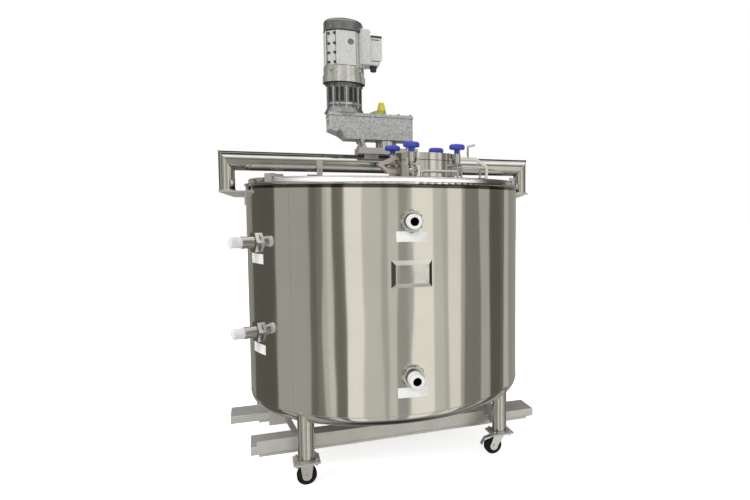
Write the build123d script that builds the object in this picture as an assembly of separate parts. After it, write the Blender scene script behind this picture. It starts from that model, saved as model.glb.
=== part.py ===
from build123d import *
import os
from math import cos, radians, sin, tan

# Jacketed mixing tank on casters: a round stainless vessel with a cone bottom, a pipe bridge
# over its covers that carries a gear motor, a clamped manway, and four jacket fittings.
# X runs along the bridge, the front looks along -Y, Z is up from the floor.

os.makedirs("parts", exist_ok=True)

# Tank body
SHELL_OD = 1219.2
SHELL_WALL = 3.4
JACKET_GAP = 38.0
VESSEL_WALL = 4.8
KNUCKLE_TOP = 292.0
KNUCKLE_RADIUS = 45.0
BOTTOM_SLOPE = 10.0
RIM_HEIGHT = 1187.0
RIM_THICKNESS = 5.0
BEAD_RADIUS = 5.8

# Covers
COVER_THICKNESS = 3.0
COVER_SKIRT = 21.0
COVER_INSET = 11.0
COVER_SPLIT = 6.0
COVER_ROUND = 8.0
CLIP_ANGLE = 60.0
CLIP_WIDTH = 46.0
CLIP_THICKNESS = 7.0
CLIP_PROUD = 14.0
HINGE_X = 405.0
HINGE_SPACING = 150.0
HINGE_LENGTH = 50.0
HINGE_BARREL = 14.0
HINGE_AXIS_RISE = 18.0
HINGE_LEAF = 3.0
HINGE_REACH = 26.0

# Bridge over the covers
BRIDGE_OD = 82.6
BRIDGE_LEG_OD = 63.5
BRIDGE_LEG_STANDOFF = 40.15
BRIDGE_GAP = 36.4
BRIDGE_WALL = 3.0
BRACKET_WIDTH = 70.0
BRACKET_THICKNESS = 8.0
BRACKET_DROP = 23.0
BRACKET_WEB_DEPTH = 29.0
BRACKET_WEB_FLAT = 45.0
BRACKET_WEB_THICKNESS = 8.0
BRACKET_PAD_HEIGHT = 62.0
BRACKET_PAD_THICKNESS = 6.0
BRIDGE_CLIP_X = 305.0
BRIDGE_CLIP_WIDTH = 24.0
BRIDGE_CLIP_THICKNESS = 6.0
BRIDGE_CLIP_ABOVE = 8.0
BRIDGE_CLIP_BOLT = 14.0

# Drive
SADDLE_WIDTH = 64.0
SADDLE_DEPTH = 70.0
SADDLE_SPACING = 150.0
MOUNT_RISE = 2.2
MOUNT_PLATE_THICKNESS = 28.0
MOUNT_PLATE_LENGTH = 270.0
MOUNT_PLATE_DEPTH = 140.0
FLANGE_HEIGHT = 36.0
FLANGE_DIAMETER = 96.0
FLANGE_BOLT_DIAMETER = 18.0
FLANGE_BOLT_SPACING_X = 76.0
FLANGE_BOLT_SPACING_Y = 100.0
GEARBOX_HEIGHT = 101.0
GEARBOX_LEFT_REACH = 75.0
GEARBOX_RIGHT = 111.0
GEARBOX_DEPTH = 150.0
GEARBOX_CHAMFER_X = 74.0
GEARBOX_CHAMFER_Z = 40.0
GEARBOX_STEP = 50.0
GEARBOX_ROUND = 10.0
GEARBOX_COVER_HEIGHT = 14.0
GEARBOX_COVER_PROUD = 2.0
GEARBOX_RECESS_DEPTH = 8.0
GEARBOX_RECESS_MARGIN = 24.0
GEARBOX_RECESS_HEIGHT = 30.0
GEARBOX_RECESS_DROP = 16.0
MOTOR_X = -187.0
ADAPTER_FOOT_DIAMETER = 178.0
ADAPTER_FOOT_HEIGHT = 26.0
ADAPTER_DIAMETER = 150.0
ADAPTER_RIB_COUNT = 8
ADAPTER_RIB_THICKNESS = 7.0
ADAPTER_RIB_PROUD = 4.0
ADAPTER_HEIGHT = 133.5
END_BELL_DIAMETER = 178.0
END_BELL_HEIGHT = 68.5
END_BELL_RING = 30.0
END_BELL_RING_PROUD = 4.0
MOTOR_DIAMETER = 158.0
MOTOR_HEIGHT = 156.0
MOTOR_PAD_WIDTH = 84.0
MOTOR_PAD_PROUD = 4.0
MOTOR_PAD_MARGIN = 5.0
FAN_COVER_DIAMETER = 171.0
FAN_COVER_HEIGHT = 52.0
FAN_COVER_ROUND = 16.0
TERMINAL_BOX_OUT = 81.0
TERMINAL_BOX_DEPTH = 100.0
TERMINAL_BOX_RISE = 19.0
TERMINAL_BOX_HEIGHT = 131.0
TERMINAL_BOX_CHAMFER = 14.0
TERMINAL_PLATE_DEPTH = 112.0
TERMINAL_PLATE_OUT = 26.0
TERMINAL_PLATE_BACK = 21.0
TERMINAL_PLATE_RISE = 18.0
TERMINAL_PLATE_OVERLAP = 20.0
FAN_COVER_CLEARANCE = 2.0
TERMINAL_BOX_ROUND = 6.0
PLUG_X = -38.0
PLUG_DIAMETER = 84.0
PLUG_HEIGHT = 25.0
PLUG_CAP_OFFSET = 18.0
PLUG_CAP_DIAMETER = 50.0
PLUG_CAP_TIP = 24.0
PLUG_CAP_HEIGHT = 62.0

# Manway
MANWAY_X = 98.0
MANWAY_Y = -330.0
MANWAY_TURN = 9.6
MANWAY_OD = 254.0
MANWAY_WALL = 6.0
MANWAY_NECK_HEIGHT = 74.2
MANWAY_LID_THICKNESS = 30.0
SEAT_CLEARANCE = 0.3
RUNNING_CLEARANCE = 0.1
SWING_REACH = 18.5
SWING_COUNT = 4
LUG_RISE = 11.2
LUG_EAR_GAP = 5.0
EYE_DIAMETER = 24.0
EYE_THICKNESS = 13.0
PIN_DIAMETER = 10.0
CHEEK_THICKNESS = 8.0
STUD_DIAMETER = 12.0
SLEEVE_DIAMETER = 29.0
EAR_BELOW_NECK = 16.0
EAR_THICKNESS = 6.0
EAR_SLOT = 20.0
EAR_WIDTH = 58.0
EAR_TAB = 9.0
SLEEVE_LIFT = 8.0
KNOB_DIAMETER = 66.0
KNOB_NECK_DIAMETER = 24.0
KNOB_NECK_HEIGHT = 18.0
KNOB_HEAD_HEIGHT = 22.0
KNOB_TOP_ROUND = 11.0
KNOB_UNDER_ROUND = 7.0

# Manway hinge on the left and lever arm on the right
HINGE_BLADE_HEIGHT = 18.0
HINGE_PLATE_THICKNESS = 8.0
HINGE_PLATE_SPACING = 28.0
HINGE_PLATE_REACH = 63.0
SPRING_PIN_DIAMETER = 20.0
SPRING_PIN_LENGTH = 44.0
ARM_THICKNESS = 8.0
ARM_DEPTH = 12.0
ARM_SPAN = 104.0
ARM_POST_X = 160.0
LEVER_DIAMETER = 9.0
LEVER_OUT = 68.0
LEVER_RISE = 46.0
LEVER_TIP = 32.0
GUARD_DIAMETER = 8.0
GUARD_BACK = 40.0
GUARD_LEFT_OUT = 51.0
GUARD_SPAN = 87.0
GUARD_RISE = 50.0
HANDLE_DIAMETER = 10.0
HANDLE_LENGTH = 154.0
HANDLE_X = 122.0
HANDLE_GAP = 23.0
HANDLE_RISE = 28.0
HANDLE_SLANT = 2.0
HANDLE_BEND = 12.0

# Jacket fittings
FRONT_TURN = -2.4
SIDE_TURN = -69.3
PORT_ABOVE_PLATE = 149.0
FRONT_LOW = 445.0
SIDE_HIGH = 952.0
SIDE_LOW = 587.0
HEX_FLATS = 78.0
HEX_LENGTH = 16.0
COUPLING_DIAMETER = 58.0
COUPLING_END = 35.0
NIPPLE_DIAMETER = 47.0
NIPPLE_BORE = 33.0
NIPPLE_FLOOR = 1.0
NIPPLE_END = 63.0
FRONT_HIGH_END = 62.0
FRONT_LOW_END = 86.0
SLEEVE_OD = 53.0
CAP_DIAMETER = 44.0
CAP_LENGTH = 43.0
CAP_ROUND = 3.0
NAMEPLATE_HEIGHT = 842.0
NAMEPLATE_FRAME_WIDTH = 157.0
NAMEPLATE_FRAME_HEIGHT = 104.0
NAMEPLATE_LAND_WIDTH = 127.0
NAMEPLATE_MARGIN = 2.0
NAMEPLATE_STANDOFF = 15.0
NAMEPLATE_SHEET = 2.5

# Legs and casters
LEG_TURN = 45.0
LEG_INSET = 21.0523
LEG_OD = 63.5
LEG_WALL = 4.0
LEG_PLATE = 100.0
LEG_PLATE_THICKNESS = 6.0
PLATE_BOLT_SPACING = 72.0
PLATE_BOLT_HEAD = 13.0
PLATE_BOLT_HEAD_HEIGHT = 5.0
CASTER_HEIGHT = 92.0
CASTER_PLATE = 86.0
CASTER_PLATE_THICKNESS = 4.0
WHEEL_DIAMETER = 76.2
WHEEL_WIDTH = 30.0
WHEEL_CROWN = 4.0
HUB_PROUD = 2.0
AXLE_DIAMETER = 9.0
AXLE_HEAD_DIAMETER = 15.0
AXLE_HEAD_HEIGHT = 4.0
FORK_THICKNESS = 3.0
FORK_GAP = 3.0
FORK_TOP_WIDTH = 50.0
FORK_FOOT_WIDTH = 36.0
FORK_TOP_CLEARANCE = 3.8
SWIVEL_OFFSET = 32.0
SWIVEL_RACE_DIAMETER = 50.0
SWIVEL_RACE_HEIGHT = 4.0
BRAKE_THICKNESS = 5.0
BRAKE_WIDTH = 26.0
BRAKE_REACH = 16.0

# Base beams
BEAM_INNER = 150.0
FAR_BEAM_INNER = 122.0
BEAM_WIDTH = 145.0
BEAM_BOTTOM = 97.0
BEAM_HEIGHT = 36.0
BEAM_ROUND = 6.0
BEAM_RIGHT = 627.0
NEAR_BEAM_LEFT = 614.0
FAR_BEAM_LEFT = 703.0
RAIL_THICKNESS = 6.0
RAIL_BOTTOM = 104.0
RAIL_HEIGHT = 52.0
RAIL_LEFT = 591.0
RAIL_RIGHT = 378.0
STRIP_WIDTH = 34.0
STRIP_HEIGHT = 11.0
STRIP_INSET = 30.0
STRIP_SETBACK = 8.0
STRUT_WIDTH = 34.0
STRUT_THICKNESS = 22.0
STRUT_X = 430.0
STRUT_LEAN = 75.0
HANGER_X = 498.0
HANGER_WIDTH = 84.0
HANGER_THICKNESS = 6.0
HANGER_DROP = 26.0
LEG_TIE_THICKNESS = 8.0

SHELL_R = SHELL_OD / 2
VESSEL_R = SHELL_R - SHELL_WALL - JACKET_GAP
COVER_R = SHELL_R - COVER_INSET
COVER_TOP = RIM_HEIGHT + BEAD_RADIUS + COVER_SKIRT
COVER_BOTTOM = COVER_TOP - COVER_SKIRT
BEAM_TOP = BEAM_BOTTOM + BEAM_HEIGHT
BRIDGE_HALF_SPAN = SHELL_R + BRIDGE_LEG_STANDOFF + BRIDGE_LEG_OD / 2
BRIDGE_HEIGHT = COVER_TOP + BRIDGE_GAP + BRIDGE_OD / 2
BRACKET_TOP = RIM_HEIGHT - BRACKET_DROP
MOUNT_PLATE_BOTTOM = BRIDGE_HEIGHT + BRIDGE_OD / 2 + MOUNT_RISE
MOUNT_PLATE_TOP = MOUNT_PLATE_BOTTOM + MOUNT_PLATE_THICKNESS
GEARBOX_BOTTOM = MOUNT_PLATE_TOP + FLANGE_HEIGHT
GEARBOX_TOP = GEARBOX_BOTTOM + GEARBOX_HEIGHT
GEARBOX_LEFT = MOTOR_X - GEARBOX_LEFT_REACH
GEARBOX_COVER_TOP = GEARBOX_TOP + GEARBOX_COVER_HEIGHT
ADAPTER_TOP = GEARBOX_COVER_TOP + ADAPTER_HEIGHT
END_BELL_TOP = ADAPTER_TOP + END_BELL_HEIGHT
MOTOR_TOP = END_BELL_TOP + MOTOR_HEIGHT
FAN_COVER_TOP = MOTOR_TOP + FAN_COVER_HEIGHT
TERMINAL_BOX_BOTTOM = END_BELL_TOP + TERMINAL_BOX_RISE
TERMINAL_BOX_TOP = TERMINAL_BOX_BOTTOM + TERMINAL_BOX_HEIGHT
MANWAY_NECK_TOP = COVER_TOP + MANWAY_NECK_HEIGHT
FRONT_HIGH = NAMEPLATE_HEIGHT + NAMEPLATE_FRAME_HEIGHT / 2 + PORT_ABOVE_PLATE
LEG_SPREAD = SHELL_R * cos(radians(LEG_TURN)) - LEG_INSET
MANWAY_R = MANWAY_OD / 2
SWING_R = MANWAY_R + SWING_REACH
LID_TOP = MANWAY_NECK_TOP + MANWAY_LID_THICKNESS
EAR_BOTTOM = MANWAY_NECK_TOP - EAR_BELOW_NECK - EAR_THICKNESS
EAR_TOP = EAR_BOTTOM + EAR_THICKNESS
LUG_BOTTOM = COVER_TOP + LUG_RISE
LUG_TOP = EAR_BOTTOM - LUG_EAR_GAP
PIVOT_Z = (LUG_BOTTOM + LUG_TOP) / 2
SLEEVE_BOTTOM = EAR_TOP + SLEEVE_LIFT
HANDLE_Y = MANWAY_Y - MANWAY_R - HANDLE_GAP
LEG_FOOT = CASTER_HEIGHT + LEG_PLATE_THICKNESS
WHEEL_R = WHEEL_DIAMETER / 2

# The origin is the middle of the whole tank's footprint box, on the floor. The front fitting
# reaches further forward than the rim bead reaches back.
FRONT_REACH = (SHELL_R + FRONT_LOW_END) * cos(radians(FRONT_TURN)) + SLEEVE_OD / 2 * sin(
    radians(-FRONT_TURN)
)
REAR_REACH = SHELL_R + BEAD_RADIUS
ORIGIN_SHIFT = Pos(0, (FRONT_REACH - REAR_REACH) / 2, 0)


def save(node, *pieces):
    moved = [ORIGIN_SHIFT * piece for piece in pieces]
    if len(moved) == 1:
        export_step(moved[0], f"parts/{node}.step")
    else:
        export_step(Compound(moved), f"parts/{node}.step")


def block(x0, x1, y0, y1, z0, z1):
    centre = Pos((x0 + x1) / 2, (y0 + y1) / 2, (z0 + z1) / 2)
    return centre * Box(abs(x1 - x0), abs(y1 - y0), abs(z1 - z0))


def rod(x, y, z0, z1, diameter):
    return Pos(x, y, (z0 + z1) / 2) * Cylinder(diameter / 2, z1 - z0)


def cross_rod(x, y0, y1, z, diameter):
    return Pos(x, (y0 + y1) / 2, z) * Rot(90, 0, 0) * Cylinder(diameter / 2, y1 - y0)


def plate_xz(points, y0, y1):
    """An outline in the XZ plane, from y0 to y1."""
    face = Plane.XZ * make_face(Polyline(*points, close=True))
    return Pos(0, y1, 0) * extrude(face, amount=y1 - y0)


def turned(points):
    """A closed outline of radius and height, turned about the tank's axis."""
    face = Plane.XZ * make_face(Polyline(*points, close=True))
    return revolve(face, Axis.Z)


def around(angle):
    """Turns a piece made on the front centre line to an angle from it."""
    return Rot(0, 0, angle)


def bottom_profile(radius, top, knuckle):
    """The knuckle and cone of a vessel bottom, from the wall in to the axis."""
    centre_r = radius - knuckle
    end = radians(90 - BOTTOM_SLOPE)
    foot_r = centre_r + knuckle * cos(end)
    foot_z = top - knuckle * sin(end)
    tip_z = foot_z - foot_r * tan(radians(BOTTOM_SLOPE))
    middle = radians((90 - BOTTOM_SLOPE) / 2)
    arc = ThreePointArc(
        (radius, top),
        (centre_r + knuckle * cos(middle), top - knuckle * sin(middle)),
        (foot_r, foot_z),
    )
    return arc, (foot_r, foot_z), (0, tip_z)


def vessel_solid(radius, top, knuckle, rim):
    """The whole space inside a radius, from the cone's tip to the rim."""
    arc, foot, tip = bottom_profile(radius, top, knuckle)
    outline = arc + Line(foot, tip) + Line(tip, (0, rim)) + Line((0, rim), (radius, rim))
    outline += Line((radius, rim), (radius, top))
    return revolve(Plane.XZ * make_face(outline), Axis.Z)


tank_space = vessel_solid(SHELL_R, KNUCKLE_TOP, KNUCKLE_RADIUS, RIM_HEIGHT)
jacket_space = vessel_solid(
    SHELL_R - SHELL_WALL, KNUCKLE_TOP, KNUCKLE_RADIUS - SHELL_WALL, RIM_HEIGHT + COVER_SKIRT
)
lower_half = block(-SHELL_OD, SHELL_OD, -SHELL_OD, SHELL_OD, -SHELL_OD, KNUCKLE_TOP)
jacket = tank_space - jacket_space
fitting_rows = [
    (FRONT_TURN, FRONT_HIGH, FRONT_HIGH_END),
    (FRONT_TURN, FRONT_LOW, FRONT_LOW_END),
    (SIDE_TURN, SIDE_HIGH, NIPPLE_END),
    (SIDE_TURN, SIDE_LOW, NIPPLE_END),
]
save("jacket_shell", jacket - lower_half)
save("jacket_bottom", jacket & lower_half)

# The inner vessel hangs from the rim ring, inside the jacket space.
vessel_knuckle = KNUCKLE_TOP + JACKET_GAP
vessel_outer = vessel_solid(VESSEL_R, vessel_knuckle, KNUCKLE_RADIUS, RIM_HEIGHT)
vessel_inner = vessel_solid(
    VESSEL_R - VESSEL_WALL,
    vessel_knuckle,
    KNUCKLE_RADIUS - VESSEL_WALL,
    RIM_HEIGHT + COVER_SKIRT,
)
save("inner_vessel", vessel_outer - vessel_inner)

rim_flat = turned(
    [
        (VESSEL_R - VESSEL_WALL, RIM_HEIGHT),
        (SHELL_R, RIM_HEIGHT),
        (SHELL_R, RIM_HEIGHT + BEAD_RADIUS),
        (VESSEL_R - VESSEL_WALL, RIM_HEIGHT + BEAD_RADIUS),
    ]
)
bead = Pos(0, 0, RIM_HEIGHT) * Torus(SHELL_R, BEAD_RADIUS)
bead -= tank_space
save("rim_ring", rim_flat + bead)

# Two half covers with turned-down edges. The manway neck passes through the front one.
cover = Pos(0, 0, COVER_TOP - COVER_SKIRT / 2) * Cylinder(COVER_R, COVER_SKIRT)
cover = fillet(cover.edges().sort_by(Axis.Z)[-1], COVER_ROUND)
cover_space = Pos(0, 0, COVER_TOP - COVER_THICKNESS - COVER_SKIRT / 2) * Cylinder(
    COVER_R - COVER_THICKNESS, COVER_SKIRT
)
cover -= fillet(cover_space.edges().sort_by(Axis.Z)[-1], COVER_ROUND - COVER_THICKNESS)
manway_hole = rod(MANWAY_X, MANWAY_Y, COVER_BOTTOM, COVER_TOP, MANWAY_OD + 2 * SEAT_CLEARANCE)
half_split = COVER_SPLIT / 2
front_half = block(-SHELL_R, SHELL_R, -SHELL_R, -half_split, COVER_BOTTOM, COVER_TOP)
rear_half = block(-SHELL_R, SHELL_R, half_split, SHELL_R, COVER_BOTTOM, COVER_TOP)
save("front_cover", (cover & front_half) - manway_hole)
save("rear_cover", cover & rear_half)

# Clips that hook the covers over the rim, spaced evenly about the bridge.
clip = block(
    -CLIP_WIDTH / 2,
    CLIP_WIDTH / 2,
    -COVER_R - CLIP_THICKNESS,
    -COVER_R + CLIP_THICKNESS,
    COVER_BOTTOM,
    COVER_TOP + CLIP_PROUD,
)
clip -= Pos(0, 0, COVER_BOTTOM) * Cylinder(COVER_R + SEAT_CLEARANCE, 2 * COVER_SKIRT)
clip += block(
    -CLIP_WIDTH / 2,
    CLIP_WIDTH / 2,
    -COVER_R - CLIP_THICKNESS,
    -COVER_R + 2 * CLIP_THICKNESS,
    COVER_TOP,
    COVER_TOP + CLIP_PROUD,
)
clip_angles = [CLIP_ANGLE, -CLIP_ANGLE, 180 - CLIP_ANGLE, CLIP_ANGLE - 180]
save("cover_clips", *[around(angle) * clip for angle in clip_angles])

# Barrel hinges along the split, under the bridge.
hinge_z = COVER_TOP + HINGE_AXIS_RISE
hinges = []
for side in (-1, 1):
    for step in (-0.5, 0.5):
        x = side * HINGE_X + step * HINGE_SPACING
        x0 = x - HINGE_LENGTH / 2
        x1 = x + HINGE_LENGTH / 2
        barrel = Pos(x, 0, hinge_z) * Rot(0, 90, 0) * Cylinder(HINGE_BARREL / 2, HINGE_LENGTH)
        leaf = block(x0, x1, -HINGE_REACH, HINGE_REACH, COVER_TOP, COVER_TOP + HINGE_LEAF)
        web = block(x0, x1, -HINGE_LEAF, HINGE_LEAF, COVER_TOP, hinge_z)
        hinges.append(barrel + leaf + web)
save("cover_hinges", *hinges)

# Bridge: a pipe with flat mitred corners over two thinner pipe legs.
corner_out = BRIDGE_HALF_SPAN + BRIDGE_LEG_OD / 2
corner_in = BRIDGE_HALF_SPAN - BRIDGE_LEG_OD / 2
bridge_top = BRIDGE_HEIGHT + BRIDGE_OD / 2
bridge_bottom = BRIDGE_HEIGHT - BRIDGE_OD / 2


def bridge_tube(outer):
    return Pos(0, 0, BRIDGE_HEIGHT) * Rot(0, 90, 0) * Cylinder(outer, 2 * corner_out)


over = 2 * BRIDGE_OD
mitre_rise = BRIDGE_OD / BRIDGE_LEG_OD
bridge_cut = plate_xz(
    [
        (corner_out + over, bridge_top + over * mitre_rise),
        (corner_in - over, bridge_bottom - over * mitre_rise),
        (corner_out + over, bridge_bottom - over * mitre_rise),
    ],
    -BRIDGE_OD,
    BRIDGE_OD,
)
both_cuts = bridge_cut + mirror(bridge_cut, Plane.YZ)
bridge_solid = bridge_tube(BRIDGE_OD / 2) - both_cuts
bridge_hollow = bridge_tube(BRIDGE_OD / 2 - BRIDGE_WALL) - both_cuts
save("bridge_pipe", bridge_solid - bridge_hollow)

leg_pipe = rod(BRIDGE_HALF_SPAN, 0, BRACKET_TOP, bridge_top, BRIDGE_LEG_OD)
leg_pipe -= rod(
    BRIDGE_HALF_SPAN, 0, BRACKET_TOP, bridge_top, BRIDGE_LEG_OD - 2 * BRIDGE_WALL
)
leg_pipe = leg_pipe & bridge_cut
save("bridge_legs", leg_pipe, mirror(leg_pipe, Plane.YZ))

bracket = block(
    0,
    corner_out,
    -BRACKET_WIDTH / 2,
    BRACKET_WIDTH / 2,
    BRACKET_TOP - BRACKET_THICKNESS,
    BRACKET_TOP,
)
bracket += plate_xz(
    [
        (0, BRACKET_TOP - BRACKET_THICKNESS),
        (corner_out, BRACKET_TOP - BRACKET_THICKNESS),
        (SHELL_R + BRACKET_WEB_FLAT, BRACKET_TOP - BRACKET_WEB_DEPTH),
        (0, BRACKET_TOP - BRACKET_WEB_DEPTH),
    ],
    -BRACKET_WEB_THICKNESS / 2,
    BRACKET_WEB_THICKNESS / 2,
)
bracket_pad = Pos(0, 0, BRACKET_TOP - BRACKET_PAD_HEIGHT / 2) * Cylinder(
    SHELL_R + BRACKET_PAD_THICKNESS, BRACKET_PAD_HEIGHT
)
bracket_pad = bracket_pad & block(
    0,
    corner_out,
    -BRACKET_WIDTH / 2,
    BRACKET_WIDTH / 2,
    BRACKET_TOP - BRACKET_PAD_HEIGHT,
    BRACKET_TOP,
)
bracket += bracket_pad
bracket -= Cylinder(SHELL_R, 4 * BRACKET_TOP)
save("bridge_brackets", bracket, mirror(bracket, Plane.YZ))

bridge_clip = block(
    BRIDGE_CLIP_X - BRIDGE_CLIP_WIDTH / 2,
    BRIDGE_CLIP_X + BRIDGE_CLIP_WIDTH / 2,
    -BRIDGE_OD / 2 - BRIDGE_CLIP_THICKNESS,
    -BRIDGE_OD / 2,
    COVER_TOP,
    BRIDGE_HEIGHT + BRIDGE_CLIP_ABOVE,
)
bridge_clip += cross_rod(
    BRIDGE_CLIP_X,
    -BRIDGE_OD / 2 - 3 * BRIDGE_CLIP_THICKNESS,
    -BRIDGE_OD / 2,
    bridge_bottom + BRIDGE_CLIP_BOLT,
    BRIDGE_CLIP_BOLT,
)
save("bridge_clips", bridge_clip, mirror(bridge_clip, Plane.YZ))

# Motor mount: two saddles on the pipe carry a flat plate.
mount = block(
    -MOUNT_PLATE_LENGTH / 2,
    MOUNT_PLATE_LENGTH / 2,
    -MOUNT_PLATE_DEPTH / 2,
    MOUNT_PLATE_DEPTH / 2,
    MOUNT_PLATE_BOTTOM,
    MOUNT_PLATE_TOP,
)
for side in (-1, 1):
    x = side * SADDLE_SPACING / 2
    saddle = block(
        x - SADDLE_WIDTH / 2,
        x + SADDLE_WIDTH / 2,
        -SADDLE_DEPTH / 2,
        SADDLE_DEPTH / 2,
        BRIDGE_HEIGHT,
        MOUNT_PLATE_BOTTOM,
    )
    mount += saddle
mount -= bridge_tube(BRIDGE_OD / 2)
save("motor_mount", mount)

flange = rod(0, 0, MOUNT_PLATE_TOP, GEARBOX_BOTTOM, FLANGE_DIAMETER)
for bolt in GridLocations(FLANGE_BOLT_SPACING_X, FLANGE_BOLT_SPACING_Y, 4, 2):
    x = bolt.position.X
    y = bolt.position.Y
    if abs(x) < FLANGE_BOLT_SPACING_X:
        continue
    flange += rod(x, y, MOUNT_PLATE_TOP, GEARBOX_BOTTOM, FLANGE_BOLT_DIAMETER)
save("output_flange", flange)

# Gearbox: one casting with a cut-back lower left end, and a flat cover.
gearbox = plate_xz(
    [
        (GEARBOX_LEFT, GEARBOX_TOP),
        (GEARBOX_RIGHT, GEARBOX_TOP),
        (GEARBOX_RIGHT, GEARBOX_BOTTOM),
        (GEARBOX_LEFT + GEARBOX_CHAMFER_X, GEARBOX_BOTTOM),
        (GEARBOX_LEFT + GEARBOX_STEP, GEARBOX_BOTTOM + GEARBOX_CHAMFER_Z / 2),
        (GEARBOX_LEFT, GEARBOX_BOTTOM + GEARBOX_CHAMFER_Z),
    ],
    -GEARBOX_DEPTH / 2,
    GEARBOX_DEPTH / 2,
)
gearbox = fillet(gearbox.edges().filter_by(Axis.Z), GEARBOX_ROUND)
recess_top = GEARBOX_TOP - GEARBOX_RECESS_DROP
gearbox -= block(
    GEARBOX_LEFT,
    GEARBOX_LEFT + GEARBOX_RECESS_DEPTH,
    -GEARBOX_DEPTH / 2 + GEARBOX_RECESS_MARGIN,
    GEARBOX_DEPTH / 2 - GEARBOX_RECESS_MARGIN,
    recess_top - GEARBOX_RECESS_HEIGHT,
    recess_top,
)
save("gearbox", gearbox)
gearbox_cover = block(
    GEARBOX_LEFT - GEARBOX_COVER_PROUD,
    GEARBOX_RIGHT + GEARBOX_COVER_PROUD,
    -GEARBOX_DEPTH / 2 - GEARBOX_COVER_PROUD,
    GEARBOX_DEPTH / 2 + GEARBOX_COVER_PROUD,
    GEARBOX_TOP,
    GEARBOX_TOP + GEARBOX_COVER_HEIGHT,
)
gearbox_cover = fillet(
    gearbox_cover.edges().filter_by(Axis.Z), GEARBOX_ROUND + GEARBOX_COVER_PROUD
)
save("gearbox_cover", gearbox_cover)

# Breather plug: a low dome with a tapered cap to one side.
dome_radius = ((PLUG_DIAMETER / 2) ** 2 + PLUG_HEIGHT**2) / (2 * PLUG_HEIGHT)
dome = Pos(PLUG_X, 0, GEARBOX_COVER_TOP + PLUG_HEIGHT - dome_radius) * Sphere(dome_radius)
dome += Pos(PLUG_X + PLUG_CAP_OFFSET, 0, GEARBOX_COVER_TOP + PLUG_CAP_HEIGHT / 2) * Cone(
    PLUG_CAP_DIAMETER / 2, PLUG_CAP_TIP / 2, PLUG_CAP_HEIGHT
)
over_cover = block(
    PLUG_X - PLUG_DIAMETER,
    PLUG_X + PLUG_DIAMETER,
    -PLUG_DIAMETER,
    PLUG_DIAMETER,
    GEARBOX_COVER_TOP,
    GEARBOX_COVER_TOP + PLUG_CAP_HEIGHT,
)
save("breather_plug", dome & over_cover)

# Motor, standing on the gearbox: adapter, end bell, body with flat pads, fan cover.
adapter = rod(MOTOR_X, 0, GEARBOX_COVER_TOP, ADAPTER_TOP, ADAPTER_DIAMETER)
adapter += Pos(MOTOR_X, 0, GEARBOX_COVER_TOP + ADAPTER_FOOT_HEIGHT / 2) * Cone(
    ADAPTER_FOOT_DIAMETER / 2, ADAPTER_DIAMETER / 2, ADAPTER_FOOT_HEIGHT
)
adapter_rib = block(
    0,
    ADAPTER_DIAMETER / 2 + ADAPTER_RIB_PROUD,
    -ADAPTER_RIB_THICKNESS / 2,
    ADAPTER_RIB_THICKNESS / 2,
    GEARBOX_COVER_TOP,
    ADAPTER_TOP,
)
for rib in range(ADAPTER_RIB_COUNT):
    adapter += Pos(MOTOR_X, 0, 0) * Rot(0, 0, 360 * (rib + 0.5) / ADAPTER_RIB_COUNT) * adapter_rib
save("motor_adapter", adapter)

end_bell = rod(MOTOR_X, 0, ADAPTER_TOP, END_BELL_TOP, END_BELL_DIAMETER)
end_bell += rod(
    MOTOR_X,
    0,
    ADAPTER_TOP,
    ADAPTER_TOP + END_BELL_RING,
    END_BELL_DIAMETER + 2 * END_BELL_RING_PROUD,
)
save("motor_end_bell", end_bell)

motor = rod(MOTOR_X, 0, END_BELL_TOP, MOTOR_TOP, MOTOR_DIAMETER)
pad = block(
    0,
    MOTOR_DIAMETER / 2 + MOTOR_PAD_PROUD,
    -MOTOR_PAD_WIDTH / 2,
    MOTOR_PAD_WIDTH / 2,
    END_BELL_TOP + MOTOR_PAD_MARGIN,
    MOTOR_TOP - MOTOR_PAD_MARGIN,
)
for turn in (0, 90, 180, 270):
    motor += Pos(MOTOR_X, 0, 0) * Rot(0, 0, turn) * pad
save("motor_body", motor)

fan_cover = rod(MOTOR_X, 0, MOTOR_TOP, FAN_COVER_TOP, FAN_COVER_DIAMETER)
fan_cover = fillet(fan_cover.edges().sort_by(Axis.Z)[-1], FAN_COVER_ROUND)
save("fan_cover", fan_cover)

# Terminal box: a thick base plate against the motor and a box with a cut lower corner.
box_left = MOTOR_X + MOTOR_DIAMETER / 2 + MOTOR_PAD_PROUD
box_right = box_left + TERMINAL_BOX_OUT
terminal_box = plate_xz(
    [
        (box_left, TERMINAL_BOX_BOTTOM),
        (box_right - TERMINAL_BOX_CHAMFER, TERMINAL_BOX_BOTTOM),
        (box_right, TERMINAL_BOX_BOTTOM + 2 * TERMINAL_BOX_CHAMFER),
        (box_right, TERMINAL_BOX_TOP),
        (box_left, TERMINAL_BOX_TOP),
    ],
    -TERMINAL_BOX_DEPTH / 2,
    TERMINAL_BOX_DEPTH / 2,
)
terminal_box += block(
    box_left - TERMINAL_PLATE_BACK,
    box_left + TERMINAL_PLATE_OUT,
    -TERMINAL_PLATE_DEPTH / 2,
    TERMINAL_PLATE_DEPTH / 2,
    END_BELL_TOP + TERMINAL_PLATE_RISE,
    MOTOR_TOP + TERMINAL_PLATE_OVERLAP,
)
terminal_box = fillet(terminal_box.edges().filter_by(Axis.X), TERMINAL_BOX_ROUND)
fan_space = rod(
    MOTOR_X, 0, MOTOR_TOP, FAN_COVER_TOP, FAN_COVER_DIAMETER + 2 * FAN_COVER_CLEARANCE
)
save("terminal_box", terminal_box - motor - fan_space)

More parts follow.
